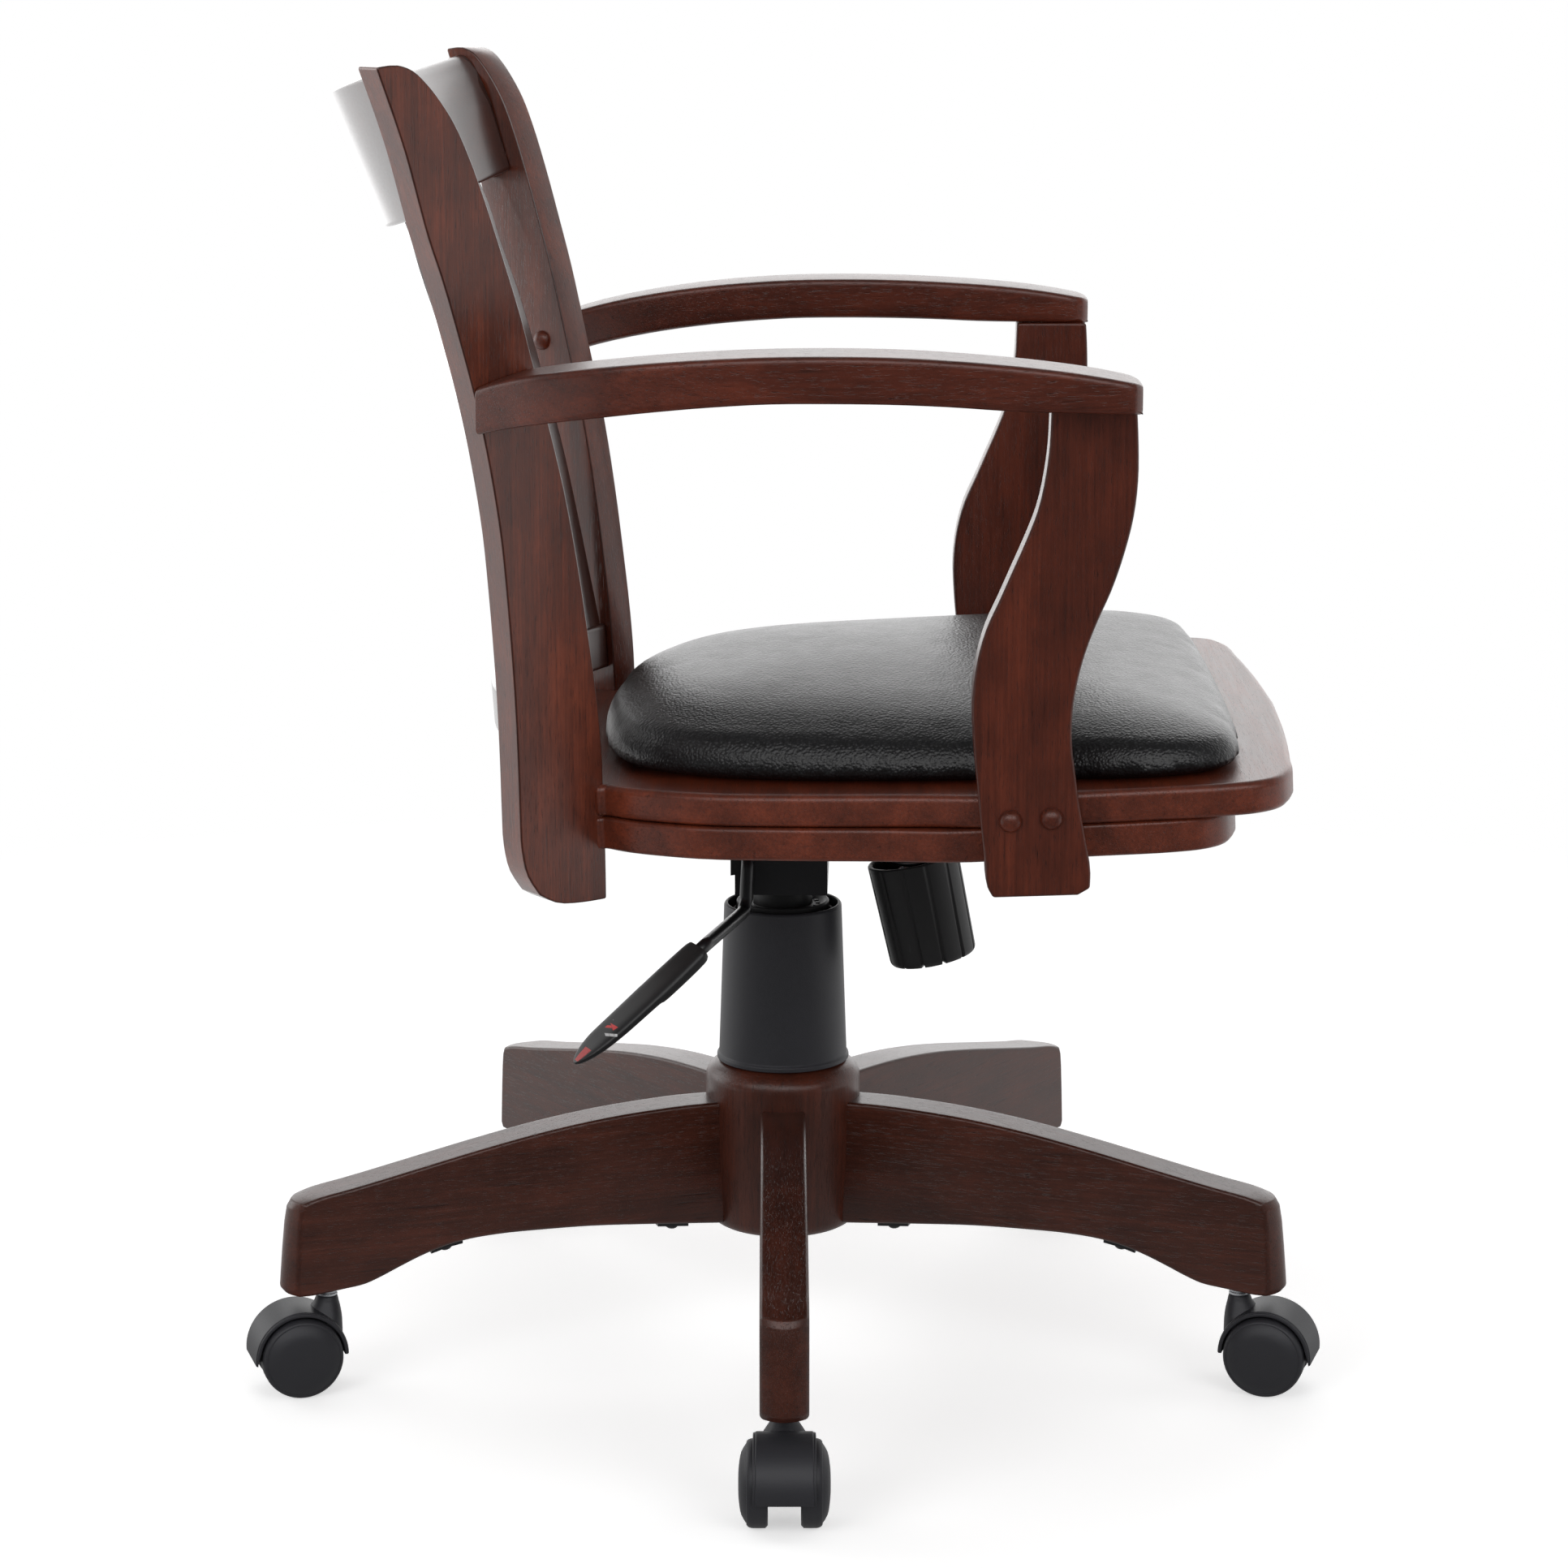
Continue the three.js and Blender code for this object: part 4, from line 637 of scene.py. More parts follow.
axle = Matrix.Translation((caster_trail, 0, wheel_radius))
for k in range(leg_count):
    turn = leg_turn(k) @ Matrix.Translation((caster_radius, 0, 0))
    angles = [hood_from + (hood_to - hood_from) * i / 48 for i in range(49)]
    arch, lips = [], []
    for a in angles:
        inside = hood_radius - hood_wall * (0.25 + 0.75 * min(1, (a - hood_from) / radians(24)))
        arch.append(hood_ring(a, inside, hood_radius, 0, hood_width / 2 - 0.0012,
                              0.0012 + hood_wall * 0.5, 5))
    shell = moved(skinned("arch", arch), axle)
    web_line = [(hood_radius * cos(radians(a)), hood_radius * sin(radians(a))) for a in range(-5, 181, 8)]
    web_line += [(-wheel_radius, -0.004), (0, -0.008)]
    web = sawn("web", [(x * 0.985, z * 0.985) for x, z in web_line], 2 * web_half, 0.001, 1, 40)
    web = moved(web, axle)
    for side in (-1, 1):
        bead = [hood_ring(a, hood_radius - lip_half - 0.0019 * min(1, (a - hood_from) / radians(16)),
                          hood_radius - 0.0006, side * (hood_width / 2 - lip_half), lip_half, 0.0008, 4)
                for a in angles]
        lips.append(moved(skinned("lip", bead), axle))
    boss = []
    for z, out, inward, wide in flowing([
            (0.036, 0.017, 0.0088, 0.015), (0.046, 0.0145, 0.0086, 0.0132),
            (0.0515, 0.0108, 0.0078, 0.01), (0.0552, 0.008, 0.007, 0.0077),
            (0.058, 0.0068, 0.0064, 0.0066), (0.0588, 0.0062, 0.006, 0.006)], 4, 70, False):
        boss.append([((out if cos(b) > 0 else inward) * cos(b), wide * sin(b), z)
                     for b in [2 * pi * i / 40 for i in range(40)]])
    pin = moved(lathed("pin", [(0, -0.0228), (0.004, -0.0228), (0.004, 0.0228), (0, 0.0228)], 20),
                axle @ Matrix.Rotation(pi / 2, 4, "X"))
    hood = settled(merged("hood", [shell, web, *lips, skinned("boss", boss), pin]))
    fitted(f"moulded_hood_{k + 1}", hood, f"caster_{k + 1}", black_plastic,
           [f"caster_{k + 1}_hood"], place=turn)
    for name, side in (("left", 1), ("right", -1)):
        profile = [(0, wheel_width - 0.003), (0.0043, wheel_width - 0.003), (0.0043, 0), (0.0235, 0),
                   (0.025, 0.0015), (0.025, 0.0083), (0.0248, 0.0098), (0.0237, 0.0117), (0.0228, 0.0121),
                   (0.0224, 0.0119), (0.0219, 0.0124), (0.0175, 0.015), (0.012, 0.0161),
                   (0.006, 0.01665), (0, wheel_width)]
        tread = settled(lathed("wheel", flowing(profile, 2, 40, False)))
        hung = turn @ axle @ Matrix.Translation((0, side * wheel_gap / 2, 0)) @ Matrix.Rotation(
            -side * pi / 2, 4, "X")
        fitted(f"domed_wheel_{k + 1}_{name}", tread, f"caster_{k + 1}_{name}_wheel", black_plastic,
               [f"caster_{k + 1}_wheel_{name}"], place=hung)
    post = settled(lathed("stem", eased([
        (0, 0.0423), (0.0052, 0.0423), (0.0052, 0.0589), (0.0065, 0.0589), (0.0065, 0.0605), (0.0058, 0.0607),
        (0.0058, 0.061), (0.0065, 0.0612), (0.0065, 0.0622), (0.0054, 0.0624), (0.0054, 0.098), (0, 0.098)],
        0.0004, closed=False), 36))
    ring = lathed("collar", eased([(0.0056, 0.0624), (0.0065, 0.0624), (0.0065, 0.0643), (0.0056, 0.0643)],
                                  0.0004), 36)
    fitted(f"caster_stem_{k + 1}", post, "base", bright_steel, [f"caster_{k + 1}_stem"], place=turn)
    fitted(f"stem_collar_{k + 1}", settled(ring), "base", black_plastic, place=turn)

# Gas column: a steel tube in the hub, with the cylinder and its rod inside, under three telescopic
# covers of black plastic.
repaint(["thrust_bearing", "piston_rod", "gas_cylinder", "valve_button", "tilt_axle", "tension_bolt"],
        bright_steel)
knob_black, works = finish_works("ribbed_black_plastic")
scuffs = works.noise(works.spot(), (300, 300, 40), 3.0, 0.6).between(0.68, 0.74)
speckled(works, works.colour(scuffs * 0.5, rgb(29, 29, 30), rgb(64, 64, 66)), 0.42, 0.4, 1300)
cover_low, cover_high, cover_foot, cover_head = 0.1853, 0.2855, 0.0403, 0.0369
outer = settled(lathed("cover_outer", eased([
    (0.0385, cover_low), (cover_foot + 0.0013, cover_low), (cover_foot + 0.0013, cover_low + 0.0026),
    (cover_foot, cover_low + 0.004), (cover_head, cover_high - 0.0012), (cover_head - 0.001, cover_high),
    (0.0345, cover_high), (0.0345, cover_high - 0.0018), (0.0351, cover_high - 0.0018)], 0.0006), 96))
fitted("telescopic_cover_outer", outer, "base", black_plastic, ["cover_outer"])
middle = settled(lathed("cover_middle", eased([
    (0.0302, cover_low), (0.0334, cover_low), (0.0334, 0.1877), (0.0318, 0.1877), (0.0318, 0.281),
    (0.0302, 0.281)], 0.0005), 96))
fitted("telescopic_cover_middle", middle, "middle_sleeve", black_plastic, ["cover_middle"])
inner = settled(lathed("cover_inner", eased([
    (0.0274, 0.1873), (0.029, 0.1873), (0.029, 0.2868), (0.0278, 0.2876), (0.0262, 0.2864), (0.0245, 0.2846),
    (0.0185, 0.2846), (0.0185, 0.3003), (0.0143, 0.3003), (0.0143, 0.2825), (0.0274, 0.2825)], 0.0008), 96))
fitted("telescopic_cover_inner", inner, "column", knob_black, ["cover_inner"])
works, sizes = shape_tree("crown_teeth", Count=20, Ring=0.0218, Tooth=0.0026)
ring = works.node("GeometryNodeMeshCircle", {
    "Vertices": sizes.other("Count"), "Radius": sizes.other("Ring")})
tooth_size = works.vector(sizes.other("Tooth"), sizes.other("Tooth") * 1.3, sizes.other("Tooth") * 0.35)
tooth = works.node("GeometryNodeMeshCube", {"Size": tooth_size})
spin = works.node("FunctionNodeAlignRotationToVector", {
    "Vector": works.node("GeometryNodeInputPosition")}, axis="X")
teeth = works.node("GeometryNodeInstanceOnPoints", {"Points": ring, "Instance": tooth, "Rotation": spin})
crown_teeth = finish_tree(works, teeth, black_plastic)
crown = moved(grown("crown", crown_teeth, [(0, 0, 0)]), Matrix.Translation((0, 0, 0.2848)))
fitted("cover_crown_teeth", settled(crown, 0.0003, 2), "column", black_plastic)

# Swivel-tilt mechanism: a pressed steel box with its axle, the plate that carries the seat, the
# tension spring on its bolt and the knob that tightens it.
repaint(["seat_plate"], steel_paint)
work = bmesh.new()
work.from_mesh(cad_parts["mechanism_housing"].data)
bmesh.ops.remove_doubles(work, verts=work.verts, dist=1e-5)
bmesh.ops.dissolve_limit(work, angle_limit=radians(4), verts=work.verts, edges=work.edges)
box_mesh = bpy.data.meshes.new("mechanism_housing")
work.to_mesh(box_mesh)
work.free()
fitted("pressed_housing", settled(box_mesh, 0.0009, 3), "column", steel_paint,
       ["mechanism_housing"], place=swivel.inverted())
lean = radians(12)
leaning = Matrix.Translation((0, -0.0948, 0.2504)) @ Matrix.Rotation(-lean, 4, "X")
knob_foot, knob_head, knob_height, knob_wall = 0.0273, 0.0288, 0.0655, 0.003
knob_profile = eased([(0.0043, 0), (knob_foot - 0.0012, 0), (knob_foot, 0.0022), (knob_head, knob_height),
                      (knob_head - knob_wall, knob_height), (knob_foot - knob_wall, 0.005),
                      (0.0043, 0.005)], 0.0014)
rings = []
for r, z in knob_profile:
    ring = []
    for i in range(360):
        a = 2 * pi * i / 360
        off = abs((a * 12 / (2 * pi)) % 1 - 0.5) * 2 * pi / 12 * r
        groove = max(0, 1 - (off / 0.0013) ** 2) if r > knob_foot - 0.0032 and z < 0.9 * knob_height else 0
        near_axis = r - 0.0019 * groove
        rise = 0.0016 * groove if z < 0.003 else 0
        ring.append((near_axis * cos(a), near_axis * sin(a), z + rise))
    rings.append(ring)
knob = settled(skinned("tension_knob", rings, capped=False))
fitted("ribbed_knob", knob, "knob", knob_black, ["tension_knob"], place=leaning)
spring_foot = 0.0053
works, sizes = shape_tree("wound_wire", Coils=6, Radius=0.013, Wire=0.002, Length=0.076)
coil = works.node("GeometryNodeCurveSpiral", {
    "Resolution": 32, "Rotations": sizes.other("Coils"), "Start Radius": sizes.other("Radius"),
    "End Radius": sizes.other("Radius"), "Height": sizes.other("Length")})
wound_wire = wire(works, coil, sizes.other("Wire"), 12, bright_steel)
spring = moved(grown("spring", wound_wire, [(0, 0, 0)]), Matrix.Translation((0, 0, spring_foot + 0.002)))
spring = fitted("coil_spring", spring, "seat", bright_steel, ["tension_spring"], place=leaning)
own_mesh(spring)

# Lift lever: a bent steel rod that turns in the housing, with a flat black paddle on its end.
paddle_root = Vector((-0.187, 0.0439, 0.3015))
paddle_along = Vector((-0.37, 0.71, -0.6)).normalized()
paddle_across = Vector((-0.909, -0.388, -0.154))
paddle_across = (paddle_across - paddle_along * paddle_across.dot(paddle_along)).normalized()
paddle_up = paddle_across.cross(paddle_along)
in_hand = Matrix.Translation(paddle_root) @ Matrix(
    (paddle_across, paddle_along, paddle_up)).transposed().to_4x4()
works, sizes = shape_tree("bent_rod", Bend=0.007, Radius=0.003)
route = works.node("GeometryNodeMeshToCurve", {"Mesh": sizes})
route = works.node("GeometryNodeFilletCurve", {
    "Curve": route, "Count": 10, "Radius": sizes.other("Bend"), "Limit Radius": True}, mode="POLY")
bent_rod = wire(works, route, sizes.other("Radius"), 20, steel_paint)
pivot = Vector((0, 0.02, 0.328))
route = [pivot + Vector(p) for p in ((0.016, 0, 0), (-0.061, 0, 0), (-0.061, 0.0015, -0.0335))]
route += [paddle_root - paddle_along * 0.004, paddle_root + paddle_along * 0.012]
lever = grown("lever_rod", bent_rod, route, [(i, i + 1) for i in range(4)], Bend=0.009, Radius=0.004)
fitted("bent_lever_rod", lever, "lever", steel_paint, ["lever_rod"])
repaint(["lever_bush"], black_plastic)

lever_black, works = finish_works("printed_black_plastic")
face = works.node("ShaderNodeAttribute", attribute_name="grain").other("Vector")
parts = works.parts(face)
over = parts.other("Z") * 0.93 + parts * 0.35
right = (over - parts.other("Y") + 0.0735) * 0.7071
down = (over + parts.other("Y") - 0.0735) * 0.7071 + 0.005
outer_side = (parts - parts.other("Z") * 0.5).between(0.0, 0.0006)


def band(value, middle, half):
    """1 where the value is within half of the middle."""
    return (half - (value - middle).maths("ABSOLUTE")).between(0.0, 0.00025)


arrow = band(right, -0.0012, 0.0022) * band(down, 0.0, 0.0008)
head = (0.0022 - (right - 0.0008) * 0.75 - down.maths("ABSOLUTE")).between(0.0, 0.0002)
head = head * band(right, 0.0022, 0.0014)
bars = (band(down, -0.0046, 0.0009) + band(down, 0.0046, 0.0009)) * band(right, -0.0002, 0.0030) * (
    1 - band(right, -0.0012, 0.0002)) * (1 - band(right, 0.001, 0.0002))
edge_mark = band(parts.other("Y"), 0.0925, 0.005) * (over * -1).between(0.0012, 0.0016)
red = arrow.maths("MAXIMUM", head).maths("MAXIMUM", edge_mark * 0.7)
tint = works.colour(red * outer_side, rgb(23, 23, 24), rgb(196, 52, 52))
tint = works.colour(bars * outer_side, tint, rgb(190, 190, 190))
speckled(works, tint, 0.36, 0.4, 1500)
stations = [(0, 0.72, 0.72, 0.72), (0.012, 0.8, 0.86, 0.9), (0.05, 0.9, 0.96, 1), (0.3, 1, 1, 1),
            (0.36, 1, 0.99, 0.98), (0.41, 1, 0.97, 0.84), (0.5, 1, 0.94, 0.8), (0.66, 0.98, 0.9, 0.76),
            (0.78, 0.93, 0.86, 0.68), (0.87, 0.78, 0.74, 0.56), (0.935, 0.56, 0.54, 0.43),
            (0.977, 0.32, 0.32, 0.3), (1, 0.08, 0.08, 0.14)]
rings = []
for share, left, right, deep in flowing(stations, 4, 80, False):
    thick = deep * 0.0084 / 2
    level = (thick - 0.0042) * (1 - 0.6 * max(0, (share - 0.8) / 0.2))
    ring = []
    for i in range(36):
        a = 2 * pi * (i + 0.5) / 36
        half = (left if cos(a) > 0 else right) * 0.0245 / 2
        ring.append((half * math.copysign(abs(cos(a)) ** 0.45, cos(a)), share * 0.099,
                     level + thick * math.copysign(abs(sin(a)) ** 0.7, sin(a))))
    rings.append(ring)
paddle = settled(skinned("lever_paddle", rings))
fitted("lift_paddle", paddle, "lever", lever_black, ["lever_paddle"], place=in_hand)

# Seat: a wooden board with rounded-over edges on a smaller frame board, both of stained wood.
seat_pitch, seat_level = radians(3.1), 0.3994
seated = Matrix.Translation((0, 0, seat_level)) @ Matrix.Rotation(-seat_pitch, 4, "X")
yaw, post_face, post_thickness, post_toe, post_sweep = radians(37.34), 0.0648, 0.021, 0.175, 0.144
post_out = Vector((-cos(yaw), -sin(yaw), 0))
post_back = Vector((-sin(yaw), cos(yaw), 0))
board_half = [
    (0, 1), (0.391, 0.994), (0.672, 0.985), (0.864, 0.975), (0.945, 0.957), (0.982, 0.929),
    (0.996, 0.896), (1, 0.797), (1, 0.719), (0.995, 0.603), (0.96, 0.537), (0.892, 0.384),
    (0.829, 0.274), (0.774, 0.219), (0.721, 0.177), (0.664, 0.145), (0.74, 0.06), (0.69, 0.038),
    (0.367, 0.011), (0, 0)]


def cut_behind(mesh, point, normal):
    """The mesh without what lies beyond a plane, closed again."""
    work = bmesh.new()
    work.from_mesh(mesh)
    cut = bmesh.ops.bisect_plane(work, geom=[*work.verts, *work.edges, *work.faces], plane_co=point,
                                 plane_no=normal, clear_outer=True)
    edges = [g for g in cut["geom_cut"] if isinstance(g, bmesh.types.BMEdge)]
    bmesh.ops.holes_fill(work, edges=edges)
    bmesh.ops.recalc_face_normals(work, faces=work.faces)
    work.to_mesh(mesh)
    work.free()
    return mesh


def notched(half):
    """Half the board's outline with the rear corner sawn out for its post."""
    face, toe = post_face - 0.012, post_toe + 0.008
    out, back = np.array((-post_out.x, post_out.y)), np.array((-post_back.x, post_back.y))
    made = []
    for p, q in zip(half, half[1:]):
        made.append(p)
        for own, other, line, end in ((out, back, face, toe), (back, out, toe, face)):
            before, after = own @ p - line, own @ q - line
            if before * after < 0:
                crossing = p + (q - p) * before / (before - after)
                if other @ crossing > end:
                    made.append(crossing)
    made = [p for p in made + [half[-1]] if out @ p < face + 1e-6 or back @ p < toe + 1e-6]
    first = next(i for i, p in enumerate(made) if abs(back @ p - toe) < 1e-6 and out @ p > face)
    return made[:first + 1] + [out * face + back * toe] + made[first + 1:]


for name, node, width, length, rear, thickness, low, edge in [
        ("seat_top", "seat_board", 0.2455, 0.4745, 0.17, 0.019, -0.019, 0.0045),
        ("seat_frame", "seat_underframe", 0.242, 0.437, 0.1665, 0.0195, -0.0388, 0.003)]:
    half = flowing([(x * width, rear - y * length) for x, y in board_half], 4, 45, False)
    half = notched(half)
    outline = half + [p * (-1, 1) for p in half[-2:0:-1]]
    mesh = moved(sawn(node, outline, thickness, edge, 1), Matrix.Rotation(-pi / 2, 4, "X"))
    mesh = settled(moved(mesh, seated @ Matrix.Translation((0, 0, low + thickness / 2))))
    fitted(name, mesh, "seat", board_brown, [node], shift=5.3)

# Cushion: foam under black vinyl with a pebbled grain, drawn tight round the edge and stapled below.
black_vinyl, works = finish_works("pebbled_black_vinyl")
spot = works.spot()
cells = works.node("ShaderNodeTexVoronoi", {
    "Vector": spot, "Scale": 560.0, "Randomness": 1.0, "Smoothness": 0.35}, feature="SMOOTH_F1")
wrinkles = works.noise(spot, 330, 3.0, 0.6, 0.6)
creases = works.noise(spot, 60, 4.0, 0.6)
pebble = 1 - cells.between(0.1, 0.75)
tint = works.colour(pebble, rgb(13, 13, 14), rgb(25, 25, 27))
shade(works, Base_Color=tint, Roughness=0.3 + creases * 0.1, Specular_IOR_Level=0.38,
      Normal=works.bump(0.65, 0.0006, pebble * 0.6 + wrinkles * 0.8 + creases * 0.3))
pad_half_width, pad_front, pad_rear = 0.23, 0.2735, 0.11
pad_foot, pad_edge_height, pad_crown = 0.0003, 0.024, 0.0435
pad_half = [
    (0, 1), (0.25, 0.999), (0.478, 0.997), (0.7, 0.992), (0.826, 0.984), (0.905, 0.97),
    (0.96, 0.943), (0.99, 0.905), (1, 0.86), (0.99, 0.8), (0.965, 0.73), (0.936, 0.62),
    (0.904, 0.512), (0.868, 0.41), (0.83, 0.316), (0.761, 0.196), (0.678, 0.115), (0.565, 0.057),
    (0.409, 0.023), (0.2, 0.005), (0, 0)]
half = [(x * pad_half_width, pad_rear - y * (pad_front + pad_rear)) for x, y in pad_half]
plan = flowing(half + [(-x, y) for x, y in half[-2:0:-1]], 3, 60)
middle = np.array((0, (pad_rear - pad_front) / 2))
rings = []
for inset, height, inward, crown in flowing([
        (0.004, 0, 0, 0), (-0.0005, 0.07, 0, 0), (-0.002, 0.2, 0, 0), (-0.0012, 0.36, 0, 0),
        (0.0008, 0.52, 0, 0), (0.0035, 0.68, 0, 0), (0.0068, 0.82, 0, 0), (0.0115, 0.93, 0, 0),
        (0.0165, 0.99, 0.01, 0.02), (0.0185, 1, 0.06, 0.2), (0.0185, 1, 0.16, 0.46),
        (0.0185, 1, 0.32, 0.7), (0.0185, 1, 0.56, 0.88), (0.0185, 1, 0.8, 0.98),
        (0.0185, 1, 0.985, 1)], 2, 80, False):
    ring = []
    for p in plan:
        q = p + (middle - p) / np.linalg.norm(middle - p) * inset
        q = q + (middle - q) * inward
        rise = height * pad_edge_height + crown * (pad_crown - pad_edge_height)
        lean_up = 1 + 0.4 * (q[1] - middle[1]) / (pad_front + pad_rear)
        ring.append((q[0], q[1], pad_foot + rise * lean_up))
    rings.append(ring)


def stuffed(mesh, cell, pressure, swell, floor):
    """The slack cover filled until it is tight: it swells a little and stays on the board."""
    slack = shown(mesh.name + "_slack", mesh)
    weave = slack.modifiers.new("weave", "REMESH")
    weave.mode, weave.voxel_size = "VOXEL", cell
    cover = frozen(slack)
    tight = shown(mesh.name + "_tight", cover)
    cloth = tight.modifiers.new("cloth", "CLOTH")
    cloth.settings.quality, cloth.settings.mass = 5, 0.3
    cloth.settings.tension_stiffness = cloth.settings.compression_stiffness = 12
    cloth.settings.bending_stiffness = 2.5
    cloth.settings.use_pressure, cloth.settings.uniform_pressure_force = True, pressure
    cloth.settings.effector_weights.gravity = 0
    cloth.collision_settings.use_collision = False
    cloth.point_cache.frame_start, cloth.point_cache.frame_end = 1, 20
    for step in range(1, 21):
        bpy.context.scene.frame_set(step)
    swollen = frozen(tight)
    bpy.context.scene.frame_set(1)
    for vertex, old in zip(cover.vertices, swollen.vertices):
        way = old.co - vertex.co
        vertex.co += way * min(1, swell / max(way.length, 1e-9))
    for vertex in cover.vertices:
        vertex.co.z = max(vertex.co.z, floor)
    full = shown(mesh.name + "_full", cover)
    easing = full.modifiers.new("easing", "SMOOTH")
    easing.factor, easing.iterations = 0.5, 6
    finer = full.modifiers.new("finer", "SUBSURF")
    finer.levels = finer.render_levels = 1
    made = frozen(full)
    for vertex in made.vertices:
        vertex.co.z = max(vertex.co.z, floor)
    made.name = mesh.name
    return made


cushion = stuffed(skinned("cushion", rings), cell=0.0042, pressure=4.0, swell=0.003, floor=pad_foot)
cushion = settled(moved(cushion, seated))
cushion = fitted("vinyl_cushion", cushion, "seat", black_vinyl, ["seat_pad"])

# Back: two sawn posts turned to face the sitter, a bent crest rail and a bent lower rail between
# them, and five bent slats let into both rails.
post_bottom, post_height, post_edge = 0.3247, 0.4833, 0.0011
post_side = [
    (0, 0), (0.002, 0.059), (0.009, 0.114), (0.017, 0.187), (0.035, 0.243), (0.076, 0.33),
    (0.123, 0.417), (0.181, 0.503), (0.252, 0.584), (0.311, 0.646), (0.372, 0.71), (0.444, 0.774),
    (0.528, 0.845), (0.604, 0.901), (0.66, 0.934), (0.719, 0.959), (0.778, 0.979), (0.84, 0.994),
    (0.903, 1), (1, 0.998), (0.93, 0.944), (0.88, 0.902), (0.833, 0.854),
    (0.786, 0.806), (0.73, 0.76), (0.646, 0.679), (0.606, 0.638), (0.554, 0.576), (0.512, 0.514),
    (0.479, 0.452), (0.458, 0.39), (0.441, 0.328), (0.426, 0.261), (0.414, 0.168), (0.41, 0.116),
    (0.403, 0.075), (0.375, 0.042), (0.319, 0.017), (0.243, 0.005), (0.118, 0)]
outline = [(post_toe + s * post_sweep, post_bottom + z * post_height) for s, z in post_side]
mirror = Matrix.Diagonal((-1, 1, 1, 1))
standing = Matrix((post_back, post_out, Vector((0, 0, 1)))).transposed().to_4x4() @ Matrix.Translation(
    (0, post_face - post_thickness / 2, 0))
for name, flip in (("right", Matrix()), ("left", mirror)):
    post = settled(sawn(f"back_post_{name}", outline, post_thickness, post_edge, 3))
    fitted(f"sawn_back_post_{name}", post, "seat", post_brown, [f"back_post_{name}"],
           place=flip @ standing, grain=lambda p: (p.z, p.x, p.y), shift=7.7 if name == "left" else 2.3)


def bent_board(name, radius, thickness, height, lean, y, z, half_span, edge, drop=0.0, roll=()):
    half = math.asin(half_span / radius)
    rings = []
    for i in range(61):
        a = (2 * i / 60 - 1) * half
        top = height - drop * (sin(a) / sin(half)) ** 2
        face = [(thickness * d, top - h) for d, h in roll] or [(0, top)]
        section = eased([(0, 0), (thickness, 0), (thickness, top), *face], edge)[:-1]
        rings.append([((radius + d) * sin(a), (radius + d) * cos(a) - radius, h) for d, h in section])
    mesh = moved(skinned(name, rings), Matrix.Translation((0, y, z)) @ Matrix.Rotation(-lean, 4, "X"))
    for side in (1, -1):
        flip = Matrix.Diagonal((side, 1, 1, 1)).to_3x3()
        cut_behind(mesh, flip @ (post_out * (post_face - post_thickness + 0.0003)), flip @ post_out)
    return mesh


rolled_over = [(0.8, 0), (0.62, 0.002), (0.44, 0.0065), (0.28, 0.014), (0.14, 0.024), (0.04, 0.037)]
crest = settled(bent_board("crest_rail", radius=0.477, thickness=0.02, height=0.085, lean=radians(22),
                           y=0.2206, z=0.7145, half_span=0.247, edge=0.003, drop=0.005, roll=rolled_over))
fitted("bent_crest_rail", crest, "seat", dark_brown, ["crest_rail"], shift=9.1)
rail = settled(bent_board("lower_rail", radius=0.283, thickness=0.02, height=0.029, lean=radians(4),
                          y=0.158, z=0.4055, half_span=0.175, edge=0.003))
fitted("bent_lower_rail", rail, "seat", dark_brown, ["lower_rail"], shift=4.9)

slat_bottom, slat_length, slat_y, slat_sweep = 0.426, 0.296, 0.1665, 0.0595
slat_side = [
    (0, 0), (0.054, 0.025), (0.189, 0.1), (0.324, 0.185), (0.443, 0.277), (0.561, 0.403),
    (0.645, 0.496), (0.774, 0.655), (0.885, 0.824), (0.956, 0.916), (1, 1)]
slat_pitch = 0.0655
works, sizes = shape_tree("slat_row", Count=5, Pitch=slat_pitch, Width=0.036, Thickness=0.008, Edge=0.002,
                          Lower_Bend=0.2823, Upper_Bend=0.4423)
route = works.node("GeometryNodeMeshToCurve", {"Mesh": sizes})
section = works.node("GeometryNodeCurvePrimitiveQuadrilateral", {
    "Width": sizes.other("Width"), "Height": sizes.other("Thickness")})
section = works.node("GeometryNodeFilletCurve", {
    "Curve": section, "Count": 5, "Radius": sizes.other("Edge")}, mode="POLY")
slat = works.node("GeometryNodeCurveToMesh", {
    "Curve": route, "Profile Curve": section, "Fill Caps": True})
half_row = (sizes.other("Count") - 1) * sizes.other("Pitch") / 2
row = works.node("GeometryNodeMeshLine", {
    "Count": sizes.other("Count"), "Start Location": works.vector(half_row * -1),
    "Offset": works.vector(sizes.other("Pitch"))}, mode="OFFSET")
slats = works.node("GeometryNodeInstanceOnPoints", {"Points": row, "Instance": slat})
slats = works.node("GeometryNodeRealizeInstances", {"Geometry": slats})
place = works.parts(works.node("GeometryNodeInputPosition"))
climb = (place.other("Z") - slat_bottom) / slat_length
bend = sizes.other("Lower_Bend") * (1 - climb) + sizes.other("Upper_Bend") * climb
forward = (bend * bend - place * place) ** 0.5 - bend
slats = works.node("GeometryNodeSetPosition", {
    "Geometry": slats, "Offset": works.vector(y=forward)})
slat_row = finish_tree(works, slats, dark_brown)
outline = [(0, slat_y + sweep * slat_sweep + 0.0008, slat_bottom + share * slat_length)
           for share, sweep in flowing(slat_side, 3, 60, False)]
slats = settled(grown("slats", slat_row, outline, [(i, i + 1) for i in range(len(outline) - 1)]))
fitted("bent_slats", slats, "seat", dark_brown, [f"slat_{k + 1}" for k in range(5)],
       grain=lambda p: (p.z + 1.3 * round(p.x / slat_pitch), p.x, p.y), shift=11)

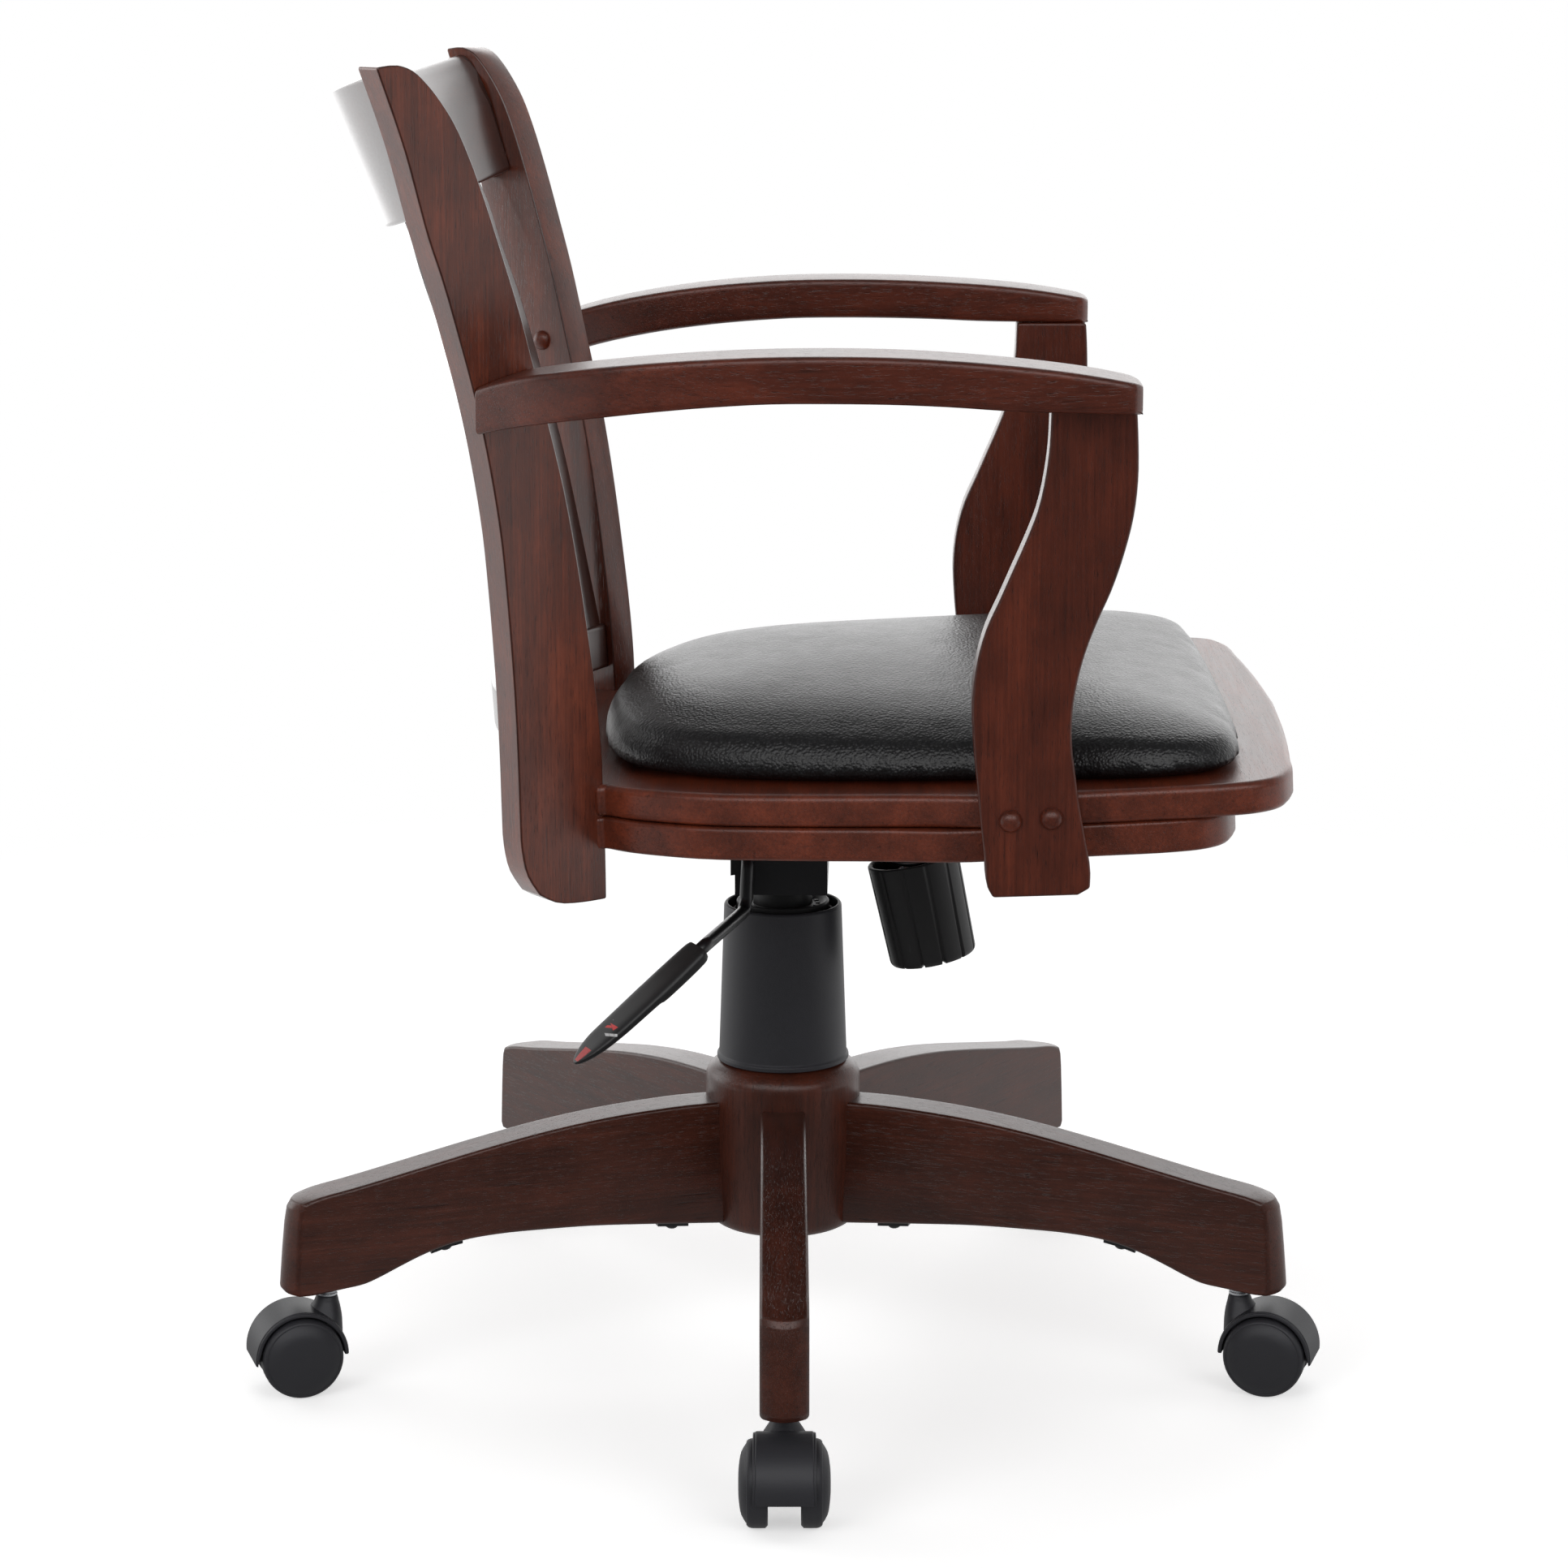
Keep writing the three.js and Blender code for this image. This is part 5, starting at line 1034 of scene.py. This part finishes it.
# Arms: carved from thick boards, on sawn S-shaped front posts that are bolted to the seat's side.
arm_length, arm_front, arm_reach, arm_width, arm_top, arm_rise = 0.4, 0.2, 0.3, 0.055, 0.6556, 0.04
arm_stations = [
    (0, 0.955, 0.42, 0.4, 0.36), (0.006, 0.982, 0.76, 0.35, 0.41), (0.025, 0.998, 0.95, 0.3, 0.445),
    (0.055, 1, 1, 0.245, 0.49), (0.107, 0.997, 1, 0.17, 0.56), (0.185, 0.987, 1, 0.093, 0.62),
    (0.265, 0.975, 1, 0.04, 0.632), (0.343, 0.968, 1, 0.008, 0.642), (0.422, 0.965, 1, 0, 0.645),
    (0.5, 0.96, 1, 0.013, 0.642), (0.578, 0.948, 1, 0.053, 0.655), (0.657, 0.925, 0.98, 0.12, 0.675),
    (0.735, 0.885, 0.94, 0.215, 0.695), (0.815, 0.82, 0.91, 0.35, 0.7),
    (0.875, 0.753, 0.9, 0.5, 0.685), (0.92, 0.7, 0.9, 0.655, 0.66), (1, 0.6, 0.9, 0.9, 0.62)]
rings = []
for at, out, wide, fall, thick in flowing(arm_stations, 3, 80, False):
    y = at * arm_length - arm_front
    x1 = out * arm_reach
    x0 = x1 - wide * arm_width
    top = arm_top - fall * arm_rise
    low = top - thick * arm_rise
    low_inner = max(low, top - 0.645 * arm_rise)
    corners = eased([(x0, low_inner), (x1, low), (x1, top), (x0, top)], 0.0045, 5)[:-1]
    rings.append([(-x, y, z) for x, z in corners])
arm_mesh = skinned("arm", rings)
arm_mesh = cut_behind(arm_mesh, post_out * (post_face + 0.0003), -post_out)
arm_post_side = [
    (0.463, 0.951), (0.455, 0.882), (0.435, 0.827), (0.388, 0.757), (0.317, 0.698), (0.23, 0.635),
    (0.164, 0.587), (0.079, 0.527), (0.026, 0.466), (0, 0.396), (0.009, 0.304), (0.035, 0.218),
    (0.06, 0.141), (0.084, 0.08), (0.105, 0.02), (0.14, 0), (0.67, 0.006), (0.745, 0.02),
    (0.747, 0.05), (0.712, 0.117), (0.675, 0.178), (0.643, 0.245), (0.619, 0.305), (0.62, 0.366),
    (0.648, 0.427), (0.694, 0.483), (0.77, 0.547), (0.846, 0.602), (0.928, 0.681), (0.976, 0.746),
    (0.999, 0.814), (0.998, 0.882), (0.986, 0.951)]
arm_post_height = 0.2865
outline = [(-0.1104 - s * 0.089, 0.3535 + z * arm_post_height) for s, z in arm_post_side]
arm_post_mesh = moved(sawn("arm_post", outline, 0.0255, 0.002, 3),
                      Matrix.Translation((-0.2458 - 0.01275, 0, 0)) @ Matrix.Rotation(pi / 2, 4, "Z"))
for name, flip in (("right", Matrix()), ("left", mirror)):
    arm = settled(arm_mesh.copy(), 0.0012, 3)
    fitted(f"carved_arm_{name}", arm, "seat", red_brown, [f"arm_{name}"], place=flip,
           grain=lambda p: (p.y, p.x, p.z - 0.12 * p.y * p.y), shift=6.1 if name == "left" else 8.3)
    arm_post = settled(arm_post_mesh.copy())
    fitted(f"sawn_arm_post_{name}", arm_post, "seat", red_brown, [f"arm_post_{name}"],
           place=flip, grain=lambda p: (p.z, p.y, p.x), shift=0.9 if name == "left" else 12.3)

# Dome caps: turned buttons of stained wood glued over the bolts of the arm posts, and over the screw
# that holds each arm to its back post.
works, sizes = shape_tree("dome_caps", Radius=0.0064, Height=0.0052)
head = domed(works, sizes.other("Radius"), sizes.other("Height"), 32)
dome_caps = finish_tree(works, placed_heads(works, sizes, head), red_brown)
for name, side in (("right", -1), ("left", 1)):
    places = [(side * 0.2713, -0.1321, 0.3973), (side * 0.2713, -0.1547, 0.3989)]
    out = Vector((-side * post_out.x, post_out.y, 0))
    back = Vector((-side * post_back.x, post_back.y, 0))
    places.append(out * (post_face - post_thickness) + back * 0.237 + Vector((0, 0, 0.62)))
    caps = grown(f"caps_{name}", dome_caps, places, facing=[(side, 0, 0), (side, 0, 0), -out])
    fitted(f"dome_caps_{name}", caps, "seat", red_brown, shift=2.9 + side)
